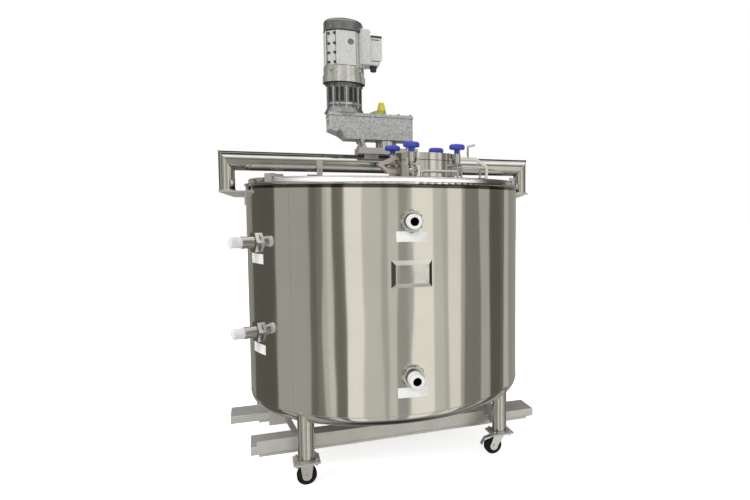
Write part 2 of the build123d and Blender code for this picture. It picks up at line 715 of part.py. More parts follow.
# Manway: a short neck through the front cover, a thick lid with four slotted ears.
manway_place = Pos(MANWAY_X, MANWAY_Y, 0) * Rot(0, 0, MANWAY_TURN)
neck = rod(0, 0, COVER_BOTTOM, MANWAY_NECK_TOP, MANWAY_OD)
neck -= rod(0, 0, COVER_BOTTOM, MANWAY_NECK_TOP, MANWAY_OD - 2 * MANWAY_WALL)
save("manway_neck", manway_place * neck)

swing_turns = [360 * (turn + 0.5) / SWING_COUNT for turn in range(SWING_COUNT)]
clear_neck = rod(0, 0, 0, LID_TOP, MANWAY_OD + 2 * SEAT_CLEARANCE)
lid = rod(0, 0, MANWAY_NECK_TOP, LID_TOP, MANWAY_OD)
slot_end = SWING_R - EAR_SLOT / 2
ear_end = SWING_R + STUD_DIAMETER
for turn in swing_turns:
    ear = block(MANWAY_R / 2, ear_end, -EAR_WIDTH / 2, EAR_WIDTH / 2, EAR_BOTTOM, EAR_TOP)
    ear -= block(slot_end, ear_end, -EAR_SLOT / 2, EAR_SLOT / 2, EAR_BOTTOM, EAR_TOP)
    for side in (-1, 1):
        edge = side * EAR_WIDTH / 2
        ear += block(
            MANWAY_R / 2,
            MANWAY_R + EAR_TAB / 2,
            edge,
            edge - side * EAR_TAB,
            EAR_BOTTOM,
            MANWAY_NECK_TOP + EAR_TAB,
        )
    ear -= clear_neck & rod(0, 0, 0, MANWAY_NECK_TOP, 2 * MANWAY_OD)
    lid += Rot(0, 0, turn) * ear
save("manway_lid", manway_place * lid)

# Lugs on the neck hold the pins that the swing bolts turn on.
cheek_in = EYE_THICKNESS / 2 + SEAT_CLEARANCE
cheek_out = cheek_in + CHEEK_THICKNESS
lug_out = SWING_R + EYE_DIAMETER / 2
lugs = []
for turn in swing_turns:
    lug = block(
        MANWAY_R / 2,
        lug_out,
        -cheek_out,
        cheek_out,
        LUG_BOTTOM,
        LUG_TOP,
    )
    lug -= block(
        SWING_R - EYE_DIAMETER / 2 - SEAT_CLEARANCE,
        lug_out,
        -cheek_in,
        cheek_in,
        LUG_BOTTOM,
        LUG_TOP,
    )
    lug += cross_rod(SWING_R, -cheek_out, cheek_out, PIVOT_Z, PIN_DIAMETER)
    lug -= clear_neck
    lugs.append(manway_place * Rot(0, 0, turn) * lug)
save("swing_bolt_lugs", *lugs)

for number, turn in enumerate(swing_turns, start=1):
    eye = cross_rod(SWING_R, -EYE_THICKNESS / 2, EYE_THICKNESS / 2, PIVOT_Z, EYE_DIAMETER)
    bolt = eye + rod(SWING_R, 0, PIVOT_Z, SLEEVE_BOTTOM, STUD_DIAMETER)
    bolt += rod(SWING_R, 0, SLEEVE_BOTTOM, LID_TOP, SLEEVE_DIAMETER)
    bolt -= cross_rod(
        SWING_R,
        -EYE_THICKNESS,
        EYE_THICKNESS,
        PIVOT_Z,
        PIN_DIAMETER + 2 * RUNNING_CLEARANCE,
    )
    save(f"swing_bolt_{number}", manway_place * Rot(0, 0, turn) * bolt)
    neck_part = rod(SWING_R, 0, LID_TOP, LID_TOP + KNOB_NECK_HEIGHT, KNOB_NECK_DIAMETER)
    head = rod(
        SWING_R,
        0,
        LID_TOP + KNOB_NECK_HEIGHT,
        LID_TOP + KNOB_NECK_HEIGHT + KNOB_HEAD_HEIGHT,
        KNOB_DIAMETER,
    )
    head = fillet(head.edges().sort_by(Axis.Z)[-1], KNOB_TOP_ROUND)
    head = fillet(head.edges().sort_by(Axis.Z)[0], KNOB_UNDER_ROUND)
    save(f"clamp_knob_{number}", manway_place * Rot(0, 0, turn) * (head + neck_part))

# Hinge at the left of the manway: two pairs of blades on a spring pin.
hinge_left = MANWAY_X - MANWAY_R
pin_x = hinge_left - HINGE_PLATE_REACH
pin_z = MANWAY_NECK_TOP - HINGE_BLADE_HEIGHT
upper_blade = [
    (hinge_left + MANWAY_WALL, LID_TOP - MANWAY_WALL),
    (hinge_left + MANWAY_WALL, LID_TOP - MANWAY_WALL - HINGE_BLADE_HEIGHT),
    (pin_x, pin_z - HINGE_BLADE_HEIGHT / 2),
    (pin_x, pin_z + HINGE_BLADE_HEIGHT / 2),
]
lower_blade = [
    (hinge_left + MANWAY_WALL, PIVOT_Z + HINGE_BLADE_HEIGHT / 2),
    (hinge_left + MANWAY_WALL, PIVOT_Z - HINGE_BLADE_HEIGHT / 2),
    (pin_x + HINGE_PLATE_REACH / 2, PIVOT_Z - HINGE_BLADE_HEIGHT / 2),
    (pin_x, pin_z - HINGE_BLADE_HEIGHT / 2),
    (pin_x, pin_z + HINGE_BLADE_HEIGHT / 2),
    (pin_x + HINGE_PLATE_REACH / 2, PIVOT_Z + HINGE_BLADE_HEIGHT / 2),
]
manway_hinge = Part()
for side in (-1, 1):
    y = MANWAY_Y + side * HINGE_PLATE_SPACING / 2
    y0 = y - HINGE_PLATE_THICKNESS / 2
    y1 = y + HINGE_PLATE_THICKNESS / 2
    manway_hinge += plate_xz(upper_blade, y0, y1) + plate_xz(lower_blade, y0, y1)
for x, z in [(pin_x, pin_z), (pin_x + HINGE_PLATE_REACH / 2, PIVOT_Z)]:
    manway_hinge += cross_rod(
        x,
        MANWAY_Y - SPRING_PIN_LENGTH / 2,
        MANWAY_Y + SPRING_PIN_LENGTH / 2,
        z,
        SPRING_PIN_DIAMETER,
    )
neck_clearance = rod(MANWAY_X, MANWAY_Y, 0, 2 * LID_TOP, MANWAY_OD + 2 * SEAT_CLEARANCE)
save("manway_hinge", manway_hinge - neck_clearance)

# Lever arm at the right of the manway, standing on the cover.
arm_left = MANWAY_X + MANWAY_R - MANWAY_WALL
arm_top = LID_TOP - MANWAY_WALL
arm_right = MANWAY_X + MANWAY_R + ARM_POST_X
arm_outline = [
    (arm_left, arm_top - ARM_DEPTH),
    (arm_left, arm_top),
    (MANWAY_X + MANWAY_R + ARM_SPAN, arm_top),
    (arm_right, arm_top - 3 * ARM_DEPTH),
    (arm_right, COVER_TOP),
    (arm_right - ARM_DEPTH, COVER_TOP),
    (arm_right - ARM_DEPTH, arm_top - 3.5 * ARM_DEPTH),
    (MANWAY_X + MANWAY_R + ARM_SPAN - ARM_DEPTH / 2, arm_top - ARM_DEPTH),
]
lever_x = MANWAY_X + MANWAY_R + LEVER_OUT
lever_top = arm_top + LEVER_RISE
arm = plate_xz(arm_outline, MANWAY_Y - ARM_THICKNESS / 2, MANWAY_Y + ARM_THICKNESS / 2)
arm += rod(lever_x, MANWAY_Y, arm_top - ARM_DEPTH, lever_top, LEVER_DIAMETER)
arm += Pos(lever_x, MANWAY_Y, lever_top) * Sphere(LEVER_DIAMETER / 2)
arm += (
    Pos(lever_x + LEVER_TIP / 2, MANWAY_Y, lever_top + LEVER_DIAMETER / 2)
    * Rot(0, 75, 0)
    * Cylinder(LEVER_DIAMETER / 2, LEVER_TIP)
)
save("lever_arm", arm - neck_clearance)

# Low bent bar on the cover, behind the lever arm.
guard_left = MANWAY_X + MANWAY_R + GUARD_LEFT_OUT
guard_y = MANWAY_Y + GUARD_BACK
guard_path = FilletPolyline(
    (guard_left, guard_y, COVER_TOP),
    (guard_left, guard_y, COVER_TOP + GUARD_RISE),
    (guard_left + GUARD_SPAN, guard_y, COVER_TOP + GUARD_RISE),
    (guard_left + GUARD_SPAN, guard_y, COVER_TOP),
    radius=GUARD_DIAMETER,
)
guard_start = Plane(origin=guard_path @ 0, z_dir=guard_path % 0)
save("cover_guard", sweep(guard_start * Circle(GUARD_DIAMETER / 2), path=guard_path))

# Lifting handle on the front cover.
handle_path = FilletPolyline(
    (HANDLE_X - HANDLE_LENGTH / 2, HANDLE_Y, COVER_TOP),
    (HANDLE_X - HANDLE_LENGTH / 2 + HANDLE_SLANT, HANDLE_Y, COVER_TOP + HANDLE_RISE),
    (HANDLE_X + HANDLE_LENGTH / 2 - HANDLE_SLANT, HANDLE_Y, COVER_TOP + HANDLE_RISE),
    (HANDLE_X + HANDLE_LENGTH / 2, HANDLE_Y, COVER_TOP),
    radius=HANDLE_BEND,
)
handle_start = Plane(origin=handle_path @ 0, z_dir=handle_path % 0)
handle = sweep(handle_start * Circle(HANDLE_DIAMETER / 2), path=handle_path)
handle -= block(-SHELL_R, SHELL_R, -SHELL_R, SHELL_R, COVER_BOTTOM, COVER_TOP)
save("cover_handle", handle)

# Jacket fittings: a hexagon on the shell with a threaded nipple through it.
hexagon = Plane.XZ * extrude(
    RegularPolygon(HEX_FLATS / 2, 6, major_radius=False), amount=SHELL_R + HEX_LENGTH
)


def outward(radius0, radius1, height, shape_radius):
    """A round bar that points out of the front of the shell."""
    return cross_rod(0, -radius1, -radius0, height, 2 * shape_radius)


fittings = []
for turn, height, end in fitting_rows:
    fitting = Pos(0, 0, height) * hexagon
    if turn == FRONT_TURN:
        fitting += outward(0, SHELL_R + COUPLING_END, height, COUPLING_DIAMETER / 2)
    else:
        fitting += outward(0, SHELL_R + end, height, NIPPLE_DIAMETER / 2)
    fitting -= outward(SHELL_R + NIPPLE_FLOOR, SHELL_R + end, height, NIPPLE_BORE / 2)
    fitting -= Pos(0, 0, height) * Cylinder(SHELL_R, 2 * HEX_FLATS)
    fittings.append(around(turn) * fitting)
save("jacket_fittings", *fittings)

sleeves = []
for turn, height, end in fitting_rows[:2]:
    sleeve = outward(SHELL_R + COUPLING_END, SHELL_R + end, height, SLEEVE_OD / 2)
    sleeve -= outward(SHELL_R, SHELL_R + end, height, NIPPLE_BORE / 2)
    sleeves.append(around(turn) * sleeve)
save("fitting_sleeves", *sleeves)

caps = []
for turn, height, end in fitting_rows[2:]:
    cap = outward(SHELL_R + end, SHELL_R + end + CAP_LENGTH, height, CAP_DIAMETER / 2)
    cap = fillet(cap.edges().sort_by(Axis.Y)[0], CAP_ROUND)
    caps.append(around(turn) * cap)
save("fitting_caps", *caps)

# Blank plate on a frame with sloping sides. Both follow the shell's curve, a little off it.
frame_land = NAMEPLATE_LAND_WIDTH / 2
frame_half = NAMEPLATE_FRAME_WIDTH / 2
frame_half_height = NAMEPLATE_FRAME_HEIGHT / 2
land_half_height = frame_half_height - (frame_half - frame_land)
plate_r = SHELL_R + NAMEPLATE_STANDOFF


def sloped_frame(inset):
    """The frame's whole outline, smaller by an inset on every side."""
    back_r = SHELL_R - NAMEPLATE_STANDOFF
    half = frame_half - inset
    land = frame_land - inset
    high = frame_half_height - inset
    land_high = land_half_height - inset
    front_r = plate_r - inset
    ring = turned(
        [
            (back_r, -high),
            (SHELL_R, -high),
            (front_r, -land_high),
            (front_r, land_high),
            (SHELL_R, high),
            (back_r, high),
        ]
    )
    foot_y = -SHELL_R * cos(half / SHELL_R)
    land_y = -front_r * cos(land / front_r)
    plan = Polyline(
        (-half, -back_r * cos(half / back_r)),
        (-half, foot_y),
        (-land, land_y),
        (-land, -plate_r - inset),
        (land, -plate_r - inset),
        (land, land_y),
        (half, foot_y),
        (half, -back_r * cos(half / back_r)),
        close=True,
    )
    prism = extrude(make_face(plan), amount=high, both=True)
    return ring & prism


frame = sloped_frame(0) - sloped_frame(NAMEPLATE_SHEET) - Cylinder(SHELL_R, NAMEPLATE_HEIGHT)
save("nameplate_frame", Pos(0, 0, NAMEPLATE_HEIGHT) * around(FRONT_TURN) * frame)
plate_sheet = NAMEPLATE_SHEET / 2
plate_half = frame_land - NAMEPLATE_MARGIN
plate_half_height = land_half_height - NAMEPLATE_MARGIN
nameplate = Cylinder(plate_r + plate_sheet, 2 * plate_half_height) - Cylinder(
    plate_r, 2 * plate_half_height
)
nameplate = nameplate & block(
    -plate_half,
    plate_half,
    -plate_r - plate_sheet,
    -SHELL_R,
    -plate_half_height,
    plate_half_height,
)
save("nameplate", Pos(0, 0, NAMEPLATE_HEIGHT) * around(FRONT_TURN) * nameplate)

# Four pipe legs up to the tank bottom, each on a square plate.
leg_places = [(x, y) for x in (-LEG_SPREAD, LEG_SPREAD) for y in (-LEG_SPREAD, LEG_SPREAD)]
legs = []
plates = []
for x, y in leg_places:
    leg = rod(x, y, LEG_FOOT, KNUCKLE_TOP, LEG_OD)
    leg -= rod(x, y, LEG_FOOT, KNUCKLE_TOP, LEG_OD - 2 * LEG_WALL)
    legs.append(leg - tank_space)
    plate = block(
        x - LEG_PLATE / 2,
        x + LEG_PLATE / 2,
        y - LEG_PLATE / 2,
        y + LEG_PLATE / 2,
        CASTER_HEIGHT,
        LEG_FOOT,
    )
    for bolt in GridLocations(PLATE_BOLT_SPACING, PLATE_BOLT_SPACING, 2, 2):
        bolt_x = x + bolt.position.X
        bolt_y = y + bolt.position.Y
        head_top = LEG_FOOT + PLATE_BOLT_HEAD_HEIGHT
        plate += rod(bolt_x, bolt_y, LEG_FOOT, head_top, PLATE_BOLT_HEAD)
    plates.append(plate)
save("legs", *legs)
save("leg_plates", *plates)


# Casters. The left pair is rigid, the right pair swivels and has a brake pedal.
cheek_y = WHEEL_WIDTH / 2 + HUB_PROUD + FORK_GAP
fork_top = WHEEL_DIAMETER + FORK_TOP_CLEARANCE


def wheel_solid(x, y):
    """A tyre with a crowned tread and a raised hub, bored for its axle."""
    wheel = cross_rod(x, y - WHEEL_WIDTH / 2, y + WHEEL_WIDTH / 2, WHEEL_R, WHEEL_DIAMETER)
    wheel = fillet(wheel.edges().filter_by(GeomType.CIRCLE), WHEEL_CROWN)
    hub_half = WHEEL_WIDTH / 2 + HUB_PROUD
    wheel += cross_rod(x, y - hub_half, y + hub_half, WHEEL_R, WHEEL_DIAMETER / 3)
    wheel -= cross_rod(
        x, y - hub_half, y + hub_half, WHEEL_R, AXLE_DIAMETER + 2 * RUNNING_CLEARANCE
    )
    return wheel


def fork_solid(x, y, axle_x, top):
    """Two tapering cheeks under a plate, joined by the axle through the wheel."""
    fork = block(
        x - FORK_TOP_WIDTH / 2,
        x + FORK_TOP_WIDTH / 2,
        y - cheek_y - FORK_THICKNESS,
        y + cheek_y + FORK_THICKNESS,
        fork_top,
        top,
    )
    cheek = [
        (x - FORK_TOP_WIDTH / 2, top),
        (x + FORK_TOP_WIDTH / 2, top),
        (axle_x + FORK_FOOT_WIDTH / 2, WHEEL_R),
        (axle_x - FORK_FOOT_WIDTH / 2, WHEEL_R),
    ]
    for side in (-1, 1):
        inner = y + side * cheek_y
        outer = inner + side * FORK_THICKNESS
        fork += plate_xz(cheek, min(inner, outer), max(inner, outer))
        fork += cross_rod(axle_x, min(inner, outer), max(inner, outer), WHEEL_R, FORK_FOOT_WIDTH)
        head = outer + side * AXLE_HEAD_HEIGHT
        fork += cross_rod(
            axle_x, min(outer, head), max(outer, head), WHEEL_R, AXLE_HEAD_DIAMETER
        )
    fork += cross_rod(axle_x, y - cheek_y, y + cheek_y, WHEEL_R, AXLE_DIAMETER)
    return fork


def caster_plate(x, y):
    half = CASTER_PLATE / 2
    return block(x - half, x + half, y - half, y + half, plate_bottom, CASTER_HEIGHT)


rigid_forks = []
plate_bottom = CASTER_HEIGHT - CASTER_PLATE_THICKNESS
race_bottom = plate_bottom - SWIVEL_RACE_HEIGHT
names = {-LEG_SPREAD: "front", LEG_SPREAD: "rear"}
races = []
for y, end in names.items():
    left = -LEG_SPREAD
    rigid_forks.append(fork_solid(left, y, left, plate_bottom) + caster_plate(left, y))
    save(f"wheel_{end}_left", wheel_solid(left, y))
    right = LEG_SPREAD
    race = rod(right, y, race_bottom, plate_bottom, SWIVEL_RACE_DIAMETER)
    races.append(race + caster_plate(right, y))
    axle_x = right - SWIVEL_OFFSET
    fork = fork_solid(right - SWIVEL_OFFSET / 4, y, axle_x, race_bottom - SEAT_CLEARANCE)
    pedal_x = axle_x - WHEEL_R
    fork += plate_xz(
        [
            (right - FORK_TOP_WIDTH / 2, fork_top),
            (right - FORK_TOP_WIDTH / 2, fork_top + BRAKE_THICKNESS),
            (pedal_x, WHEEL_DIAMETER),
            (pedal_x - BRAKE_REACH, WHEEL_R + BRAKE_WIDTH / 2),
            (pedal_x - BRAKE_REACH, WHEEL_R + BRAKE_WIDTH / 2 - BRAKE_THICKNESS),
            (pedal_x - BRAKE_THICKNESS, WHEEL_DIAMETER - 2 * BRAKE_THICKNESS),
        ],
        y - BRAKE_WIDTH / 2,
        y + BRAKE_WIDTH / 2,
    )
    save(f"swivel_fork_{end}", fork)
    save(f"wheel_{end}_right", wheel_solid(axle_x, y))
save("rigid_forks", *rigid_forks)
save("swivel_races", *races)


# Two closed beams low between the legs, with an upright rail along the outer edge of each.
def beam_solid(y0, y1, left):
    beam = block(-left, BEAM_RIGHT, y0, y1, BEAM_BOTTOM, BEAM_TOP)
    beam = fillet(beam.edges().filter_by(Axis.X), BEAM_ROUND)
    return beam


beams = []
rails = []
strips = []
ties = []
struts = []
for side, inner, beam_left in [
    (-1, BEAM_INNER, NEAR_BEAM_LEFT),
    (1, FAR_BEAM_INNER, FAR_BEAM_LEFT),
]:
    y_in = side * inner
    y_out = side * (inner + BEAM_WIDTH)
    y_front = min(y_in, y_out)
    beams.append(beam_solid(y_in, y_out, beam_left))
    y_rail = y_out + side * RAIL_THICKNESS
    rails.append(
        block(-RAIL_LEFT, RAIL_RIGHT, y_out, y_rail, RAIL_BOTTOM, RAIL_BOTTOM + RAIL_HEIGHT)
    )
    strips.append(
        block(
            -NEAR_BEAM_LEFT + STRIP_INSET,
            BEAM_RIGHT - STRIP_INSET,
            y_front + STRIP_SETBACK,
            y_front + STRIP_SETBACK + STRIP_WIDTH,
            BEAM_BOTTOM - STRIP_HEIGHT,
            BEAM_BOTTOM,
        )
    )
    for end in (-1, 1):
        x = end * LEG_SPREAD
        reach = y_rail
        if end > 0:
            reach = y_out
        tie = block(
            x - LEG_TIE_THICKNESS / 2,
            x + LEG_TIE_THICKNESS / 2,
            reach,
            side * LEG_SPREAD,
            RAIL_BOTTOM,
            BEAM_TOP,
        )
        tie -= rod(x, side * LEG_SPREAD, RAIL_BOTTOM, BEAM_TOP, LEG_OD)
        ties.append(tie)
        lean = end * STRUT_LEAN
        rise = KNUCKLE_TOP - BEAM_TOP
        strut = plate_xz(
            [
                (end * STRUT_X, BEAM_TOP),
                (end * (STRUT_X + STRUT_THICKNESS), BEAM_TOP),
                (end * (STRUT_X + STRUT_THICKNESS) + lean, BEAM_TOP + rise),
                (end * STRUT_X + lean, BEAM_TOP + rise),
            ],
            min(y_in, y_in + side * STRUT_WIDTH),
            max(y_in, y_in + side * STRUT_WIDTH),
        )
        struts.append(strut - tank_space)
save("base_beams", *beams)
save("beam_rails", *rails)
save("beam_strips", *strips)
save("leg_ties", *ties)
save("beam_struts", *struts)

hangers = []
for end in (-1, 1):
    x = end * HANGER_X
    hanger = block(
        x - HANGER_WIDTH / 2,
        x + HANGER_WIDTH / 2,
        FAR_BEAM_INNER - HANGER_THICKNESS,
        FAR_BEAM_INNER,
        BEAM_BOTTOM - HANGER_DROP,
        KNUCKLE_TOP,
    )
    hangers.append(hanger - tank_space)
save("beam_hangers", *hangers)
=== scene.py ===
# %% [markdown]
# # A jacketed mixing tank
# A round stainless tank stands on casters. Its CAD model is already solid and to scale, so this
# lesson is about finish: polished sheet, brushed plate, cast and painted housings, plastic knobs.
# We load the CAD model as a fixed frame, light it as a product studio would, and dress it.

import math

import bmesh
import bpy
from mathutils import Matrix, Vector


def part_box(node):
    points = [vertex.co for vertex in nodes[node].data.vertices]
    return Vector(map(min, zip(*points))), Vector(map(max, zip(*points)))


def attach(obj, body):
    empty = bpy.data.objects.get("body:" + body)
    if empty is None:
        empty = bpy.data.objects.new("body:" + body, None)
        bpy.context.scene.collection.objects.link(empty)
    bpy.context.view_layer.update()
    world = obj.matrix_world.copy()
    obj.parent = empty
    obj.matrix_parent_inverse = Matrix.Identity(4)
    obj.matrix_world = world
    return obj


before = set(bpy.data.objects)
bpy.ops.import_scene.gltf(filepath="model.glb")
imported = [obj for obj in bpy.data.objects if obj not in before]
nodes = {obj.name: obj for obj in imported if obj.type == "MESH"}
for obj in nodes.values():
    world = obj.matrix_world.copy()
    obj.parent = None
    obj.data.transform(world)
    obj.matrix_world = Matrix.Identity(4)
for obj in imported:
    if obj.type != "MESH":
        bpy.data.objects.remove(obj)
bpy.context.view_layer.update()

# %% [markdown]
# The tank's own axis is not at the origin, because the front fittings reach out further than the
# back. Everything that wraps round the shell needs that axis, so we read it from the shell itself.

# %% Find the tank's axis
shell_low, shell_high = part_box("jacket_shell")
AXIS_Y = (shell_low.y + shell_high.y) / 2
SHELL_RADIUS = (shell_high.y - shell_low.y) / 2
RIM_Z = shell_high.z
print("axis at y", round(AXIS_Y, 4), "radius", round(SHELL_RADIUS, 4), "rim", round(RIM_Z, 3))

# %% [markdown]
# The photograph was taken from a little left of the front, at about the height of the rim. Its
# frame was cropped, so the lens looks past the middle of the frame: a small shift does the same.

# %% Place the camera
PHOTO_LENS = 29.158
PHOTO_SHIFT = (-0.18344, -0.00411)
CAMERA_SPOT = Vector((-0.5619, AXIS_Y - 2.8838, 1.1115))
CAMERA_HEADING = math.radians(22.690)
CAMERA_DIP = math.radians(4.10)
CAMERA_ROLL = math.radians(-0.1327)
camera_data = bpy.data.cameras.new("photo_camera")
camera_data.sensor_width = 36.0
camera_data.lens = PHOTO_LENS
camera_data.shift_x, camera_data.shift_y = PHOTO_SHIFT
camera_data.clip_end = 100.0
camera = bpy.data.objects.new("photo_camera", camera_data)
bpy.context.scene.collection.objects.link(camera)
camera.location = CAMERA_SPOT
camera.rotation_euler = (math.pi / 2 - CAMERA_DIP, CAMERA_ROLL, -CAMERA_HEADING)
bpy.context.scene.camera = camera
bpy.context.scene.view_settings.view_transform = "Standard"
print("camera stands at", [round(v, 3) for v in camera.location])

# %% [markdown]
# Node trees are easier to read when each line makes one node. These helpers make a node, set its
# plain values and join its inputs in one call.

# %% Node helpers
def plug(tree, socket, value):
    """Joins a socket to another node's output, or sets its plain value."""
    if isinstance(value, bpy.types.NodeSocket):
        tree.links.new(value, socket)
    else:
        socket.default_value = value


def node(tree, kind, inputs=None, **settings):
    """A new node with its settings made and its inputs plugged."""
    made = tree.nodes.new(kind)
    for name, value in settings.items():
        setattr(made, name, value)
    for name, value in (inputs or {}).items():
        plug(tree, made.inputs[name], value)
    return made


def maths(tree, operation, first, second=0.0, third=0.0):
    terms = {0: first, 1: second, 2: third}
    return node(tree, "ShaderNodeMath", terms, operation=operation).outputs[0]


print("node helpers ready")

# %% [markdown]
# Most effects are one number that runs from 0 to 1 over a surface. Three short helpers draw such a
# number, cut a band out of it or stretch it, and three more turn it into colour.

# %% Helpers for masks and colours
# A Mix node keeps the sockets of all its kinds, so those of its colour kind go by number.
MIX_FACTOR, MIX_FIRST, MIX_SECOND, MIX_COLOUR = 0, 6, 7, 2
GREEN_LOSS = 0.18


def noise(tree, vector, scale, detail, roughness=0.5):
    inputs = {"Vector": vector, "Scale": scale, "Detail": detail, "Roughness": roughness}
    return node(tree, "ShaderNodeTexNoise", inputs).outputs["Fac"]


def between(tree, value, low, high):
    """0 to 1 while a value runs from low to high, and level beyond them."""
    inputs = {"Value": value, "From Min": low, "From Max": high}
    return node(tree, "ShaderNodeMapRange", inputs).outputs[0]


def spread(tree, value, low, high):
    """Low to high while a value runs from 0 to 1."""
    inputs = {"Value": value, "To Min": low, "To Max": high}
    return node(tree, "ShaderNodeMapRange", inputs).outputs[0]


def ramp(tree, factor, stops, interpolation="LINEAR"):
    made = node(tree, "ShaderNodeValToRGB", {"Fac": factor})
    band = made.color_ramp
    band.interpolation = interpolation
    while len(band.elements) < len(stops):
        band.elements.new(0.5)
    for element, (place, colour) in zip(band.elements, stops):
        element.position = place
        element.color = (*colour, 1.0)
    return made.outputs["Color"]


def blend_colour(tree, factor, first, second):
    """Mixes two colours, each plain or from another node."""
    made = node(tree, "ShaderNodeMix", data_type="RGBA")
    for index, value in ((MIX_FACTOR, factor), (MIX_FIRST, first), (MIX_SECOND, second)):
        plug(tree, made.inputs[index], (*value, 1.0) if isinstance(value, tuple) else value)
    return made.outputs[MIX_COLOUR]


def grey(value, warmth=0.0):
    """A grey that loses blue, and a little green, as it warms."""
    return (value, value * (1 - GREEN_LOSS * warmth), value * (1 - warmth))


print("colour helpers ready")

# %% [markdown]
# ## The studio
# Polished steel shows the room, so the room is the light. A bright drum squeezes all that stands
# round it into upright bands. Real panels could stand there, but a list of bearings and
# brightnesses on the world's shader is quicker to tune, and it casts no shadows of its own.

# %% Stand the wall panels round the tank
PANELS = [
    (-180, 0.30), (-150, 0.13), (-112, 0.48), (-77, 0.19), (-69, 0.25), (-64, 0.62),
    (-60, 0.76), (-54, 0.20), (-46, 1.08), (-31, 0.72), (-16, 0.52), (-12, 0.74),
    (-3, 0.42), (5, 0.55), (7.5, 1.10), (26, 0.72), (34, 0.60), (38, 0.98), (51, 0.50),
    (56, 0.27), (62, 0.26), (72, 0.54), (84, 0.14), (102, 0.20), (107, 0.58), (117, 0.36),
    (150, 0.30),
]
LEAST_WARMTH, DIM_WARMTH, WARMTH_FALL = 0.13, 0.30, 0.42
WOBBLE = 0.012


def panel_stop(bearing, brightness):
    """Where a panel starts on the ramp, and its colour: dim panels are the warmer ones."""
    warmth = max(LEAST_WARMTH, DIM_WARMTH - WARMTH_FALL * brightness)
    return ((bearing + 180) / 360, grey(brightness, warmth))


world = bpy.data.worlds.new("studio")
bpy.context.scene.world = world
world.use_nodes = True
sky = world.node_tree
sky.nodes.clear()
direction = node(sky, "ShaderNodeTexCoord").outputs["Generated"]
split = node(sky, "ShaderNodeSeparateXYZ", {"Vector": direction}).outputs
turn = maths(sky, "ARCTAN2", split["X"], maths(sky, "MULTIPLY", split["Y"], -1.0))
turn = maths(sky, "MULTIPLY_ADD", turn, 0.5 / math.pi, 0.5)
sway = maths(sky, "MULTIPLY_ADD", noise(sky, direction, 3.0, 2.0), WOBBLE, -WOBBLE / 2)
bearing = maths(sky, "ADD", turn, sway)
walls = ramp(sky, bearing, [panel_stop(*panel) for panel in PANELS], "CONSTANT")
print("studio walls:", len(PANELS), "panels")

# %% [markdown]
# Pipes that lie down mirror what is above and below them. A bright strip hangs over the tank's
# near side, and the far side stays dark, so the bridge pipe gets one sharp highlight and a dark
# belly, as it has in the photograph.

# %% Hang the roof
ROOF = [
    (0.00, grey(0.03)), (0.02, grey(0.07)), (0.05, grey(0.26)), (0.13, grey(0.42)),
    (0.66, grey(0.2)), (0.70, grey(0.2)), (0.79, grey(0.65)), (0.87, grey(1.5)),
    (0.93, grey(2.1)), (0.975, grey(0.95)), (0.99, grey(0.1)), (1.00, grey(0.08)),
]
FAR_ROOF = (0.08, 0.08, 0.078)
ROOF_SLANT = 0.4
FAR_EDGE, NEAR_EDGE = 0.50, 0.25
NOT_WALL = [
    (0.0, grey(1)), (0.06, grey(1)), (0.14, grey(0)), (0.64, grey(0)), (0.67, grey(1)),
]
height = maths(sky, "MULTIPLY_ADD", split["Z"], 0.5, 0.5)
far_off = maths(sky, "MULTIPLY_ADD", split["X"], ROOF_SLANT, split["Y"])
near_side = between(sky, far_off, FAR_EDGE, NEAR_EDGE)
roof = blend_colour(sky, near_side, FAR_ROOF, ramp(sky, height, ROOF))
room_colour = blend_colour(sky, ramp(sky, height, NOT_WALL), walls, roof)
print("studio roof:", len(ROOF), "steps of brightness")

# %% [markdown]
# One world serves three kinds of ray. Reflections see the room, matt things are lit by an even
# dome, and the camera itself sees plain white paper.

# %% Tell the rays apart
DOME = [(0.0, grey(0.55)), (0.5, grey(0.72)), (1.0, grey(0.86))]
room = node(sky, "ShaderNodeBackground", {"Color": room_colour, "Strength": 1.0}).outputs[0]
dome_inputs = {"Color": ramp(sky, height, DOME), "Strength": 1.0}
dome = node(sky, "ShaderNodeBackground", dome_inputs).outputs[0]
paper = node(sky, "ShaderNodeBackground", {"Color": (1, 1, 1, 1), "Strength": 1.0}).outputs[0]
rays = node(sky, "ShaderNodeLightPath").outputs
lit = node(sky, "ShaderNodeMixShader", {0: rays["Is Glossy Ray"], 1: dome, 2: room}).outputs[0]
seen = maths(sky, "MAXIMUM", rays["Is Camera Ray"], rays["Is Transmission Ray"])
whole = node(sky, "ShaderNodeMixShader", {0: seen, 1: lit, 2: paper}).outputs[0]
node(sky, "ShaderNodeOutputWorld", {"Surface": whole})
print("world nodes:", len(sky.nodes))

# %% [markdown]
# One soft sun from the upper left gives the painted castings a bright and a dark side. Steel would
# show it as a hard spark, so it is hidden from reflections.

# %% Add the sun
SUN_STRENGTH = 1.1
SUN_WIDTH = math.radians(25)
SUN_TURN = [math.radians(degrees) for degrees in (48, -12, -50)]
sun_data = bpy.data.lights.new("key_sun", "SUN")
sun_data.energy = SUN_STRENGTH
sun_data.angle = SUN_WIDTH
sun = bpy.data.objects.new("key_sun", sun_data)
bpy.context.scene.collection.objects.link(sun)
sun.rotation_euler = SUN_TURN
sun.visible_glossy = False
print("sun strength", sun_data.energy)

# %% [markdown]
# The floor is a plain pale sheet. Its glow reaches only the camera, so it whitens the sheet
# without lighting the tank, and a faint shadow stays. It is left out of reflections, so that the
# shell shows the studio's panels down to its foot, as in the photograph.

# %% Lay the floor
FLOOR_HALF = 14.0
FLOOR_GLOW = 0.70


def mesh_object(name, build):
    """Makes an object from a mesh that the build function draws."""
    shape = bmesh.new()
    build(shape)
    data = bpy.data.meshes.new(name)
    shape.to_mesh(data)
    shape.free()
    made = bpy.data.objects.new(name, data)
    bpy.context.scene.collection.objects.link(made)
    return made


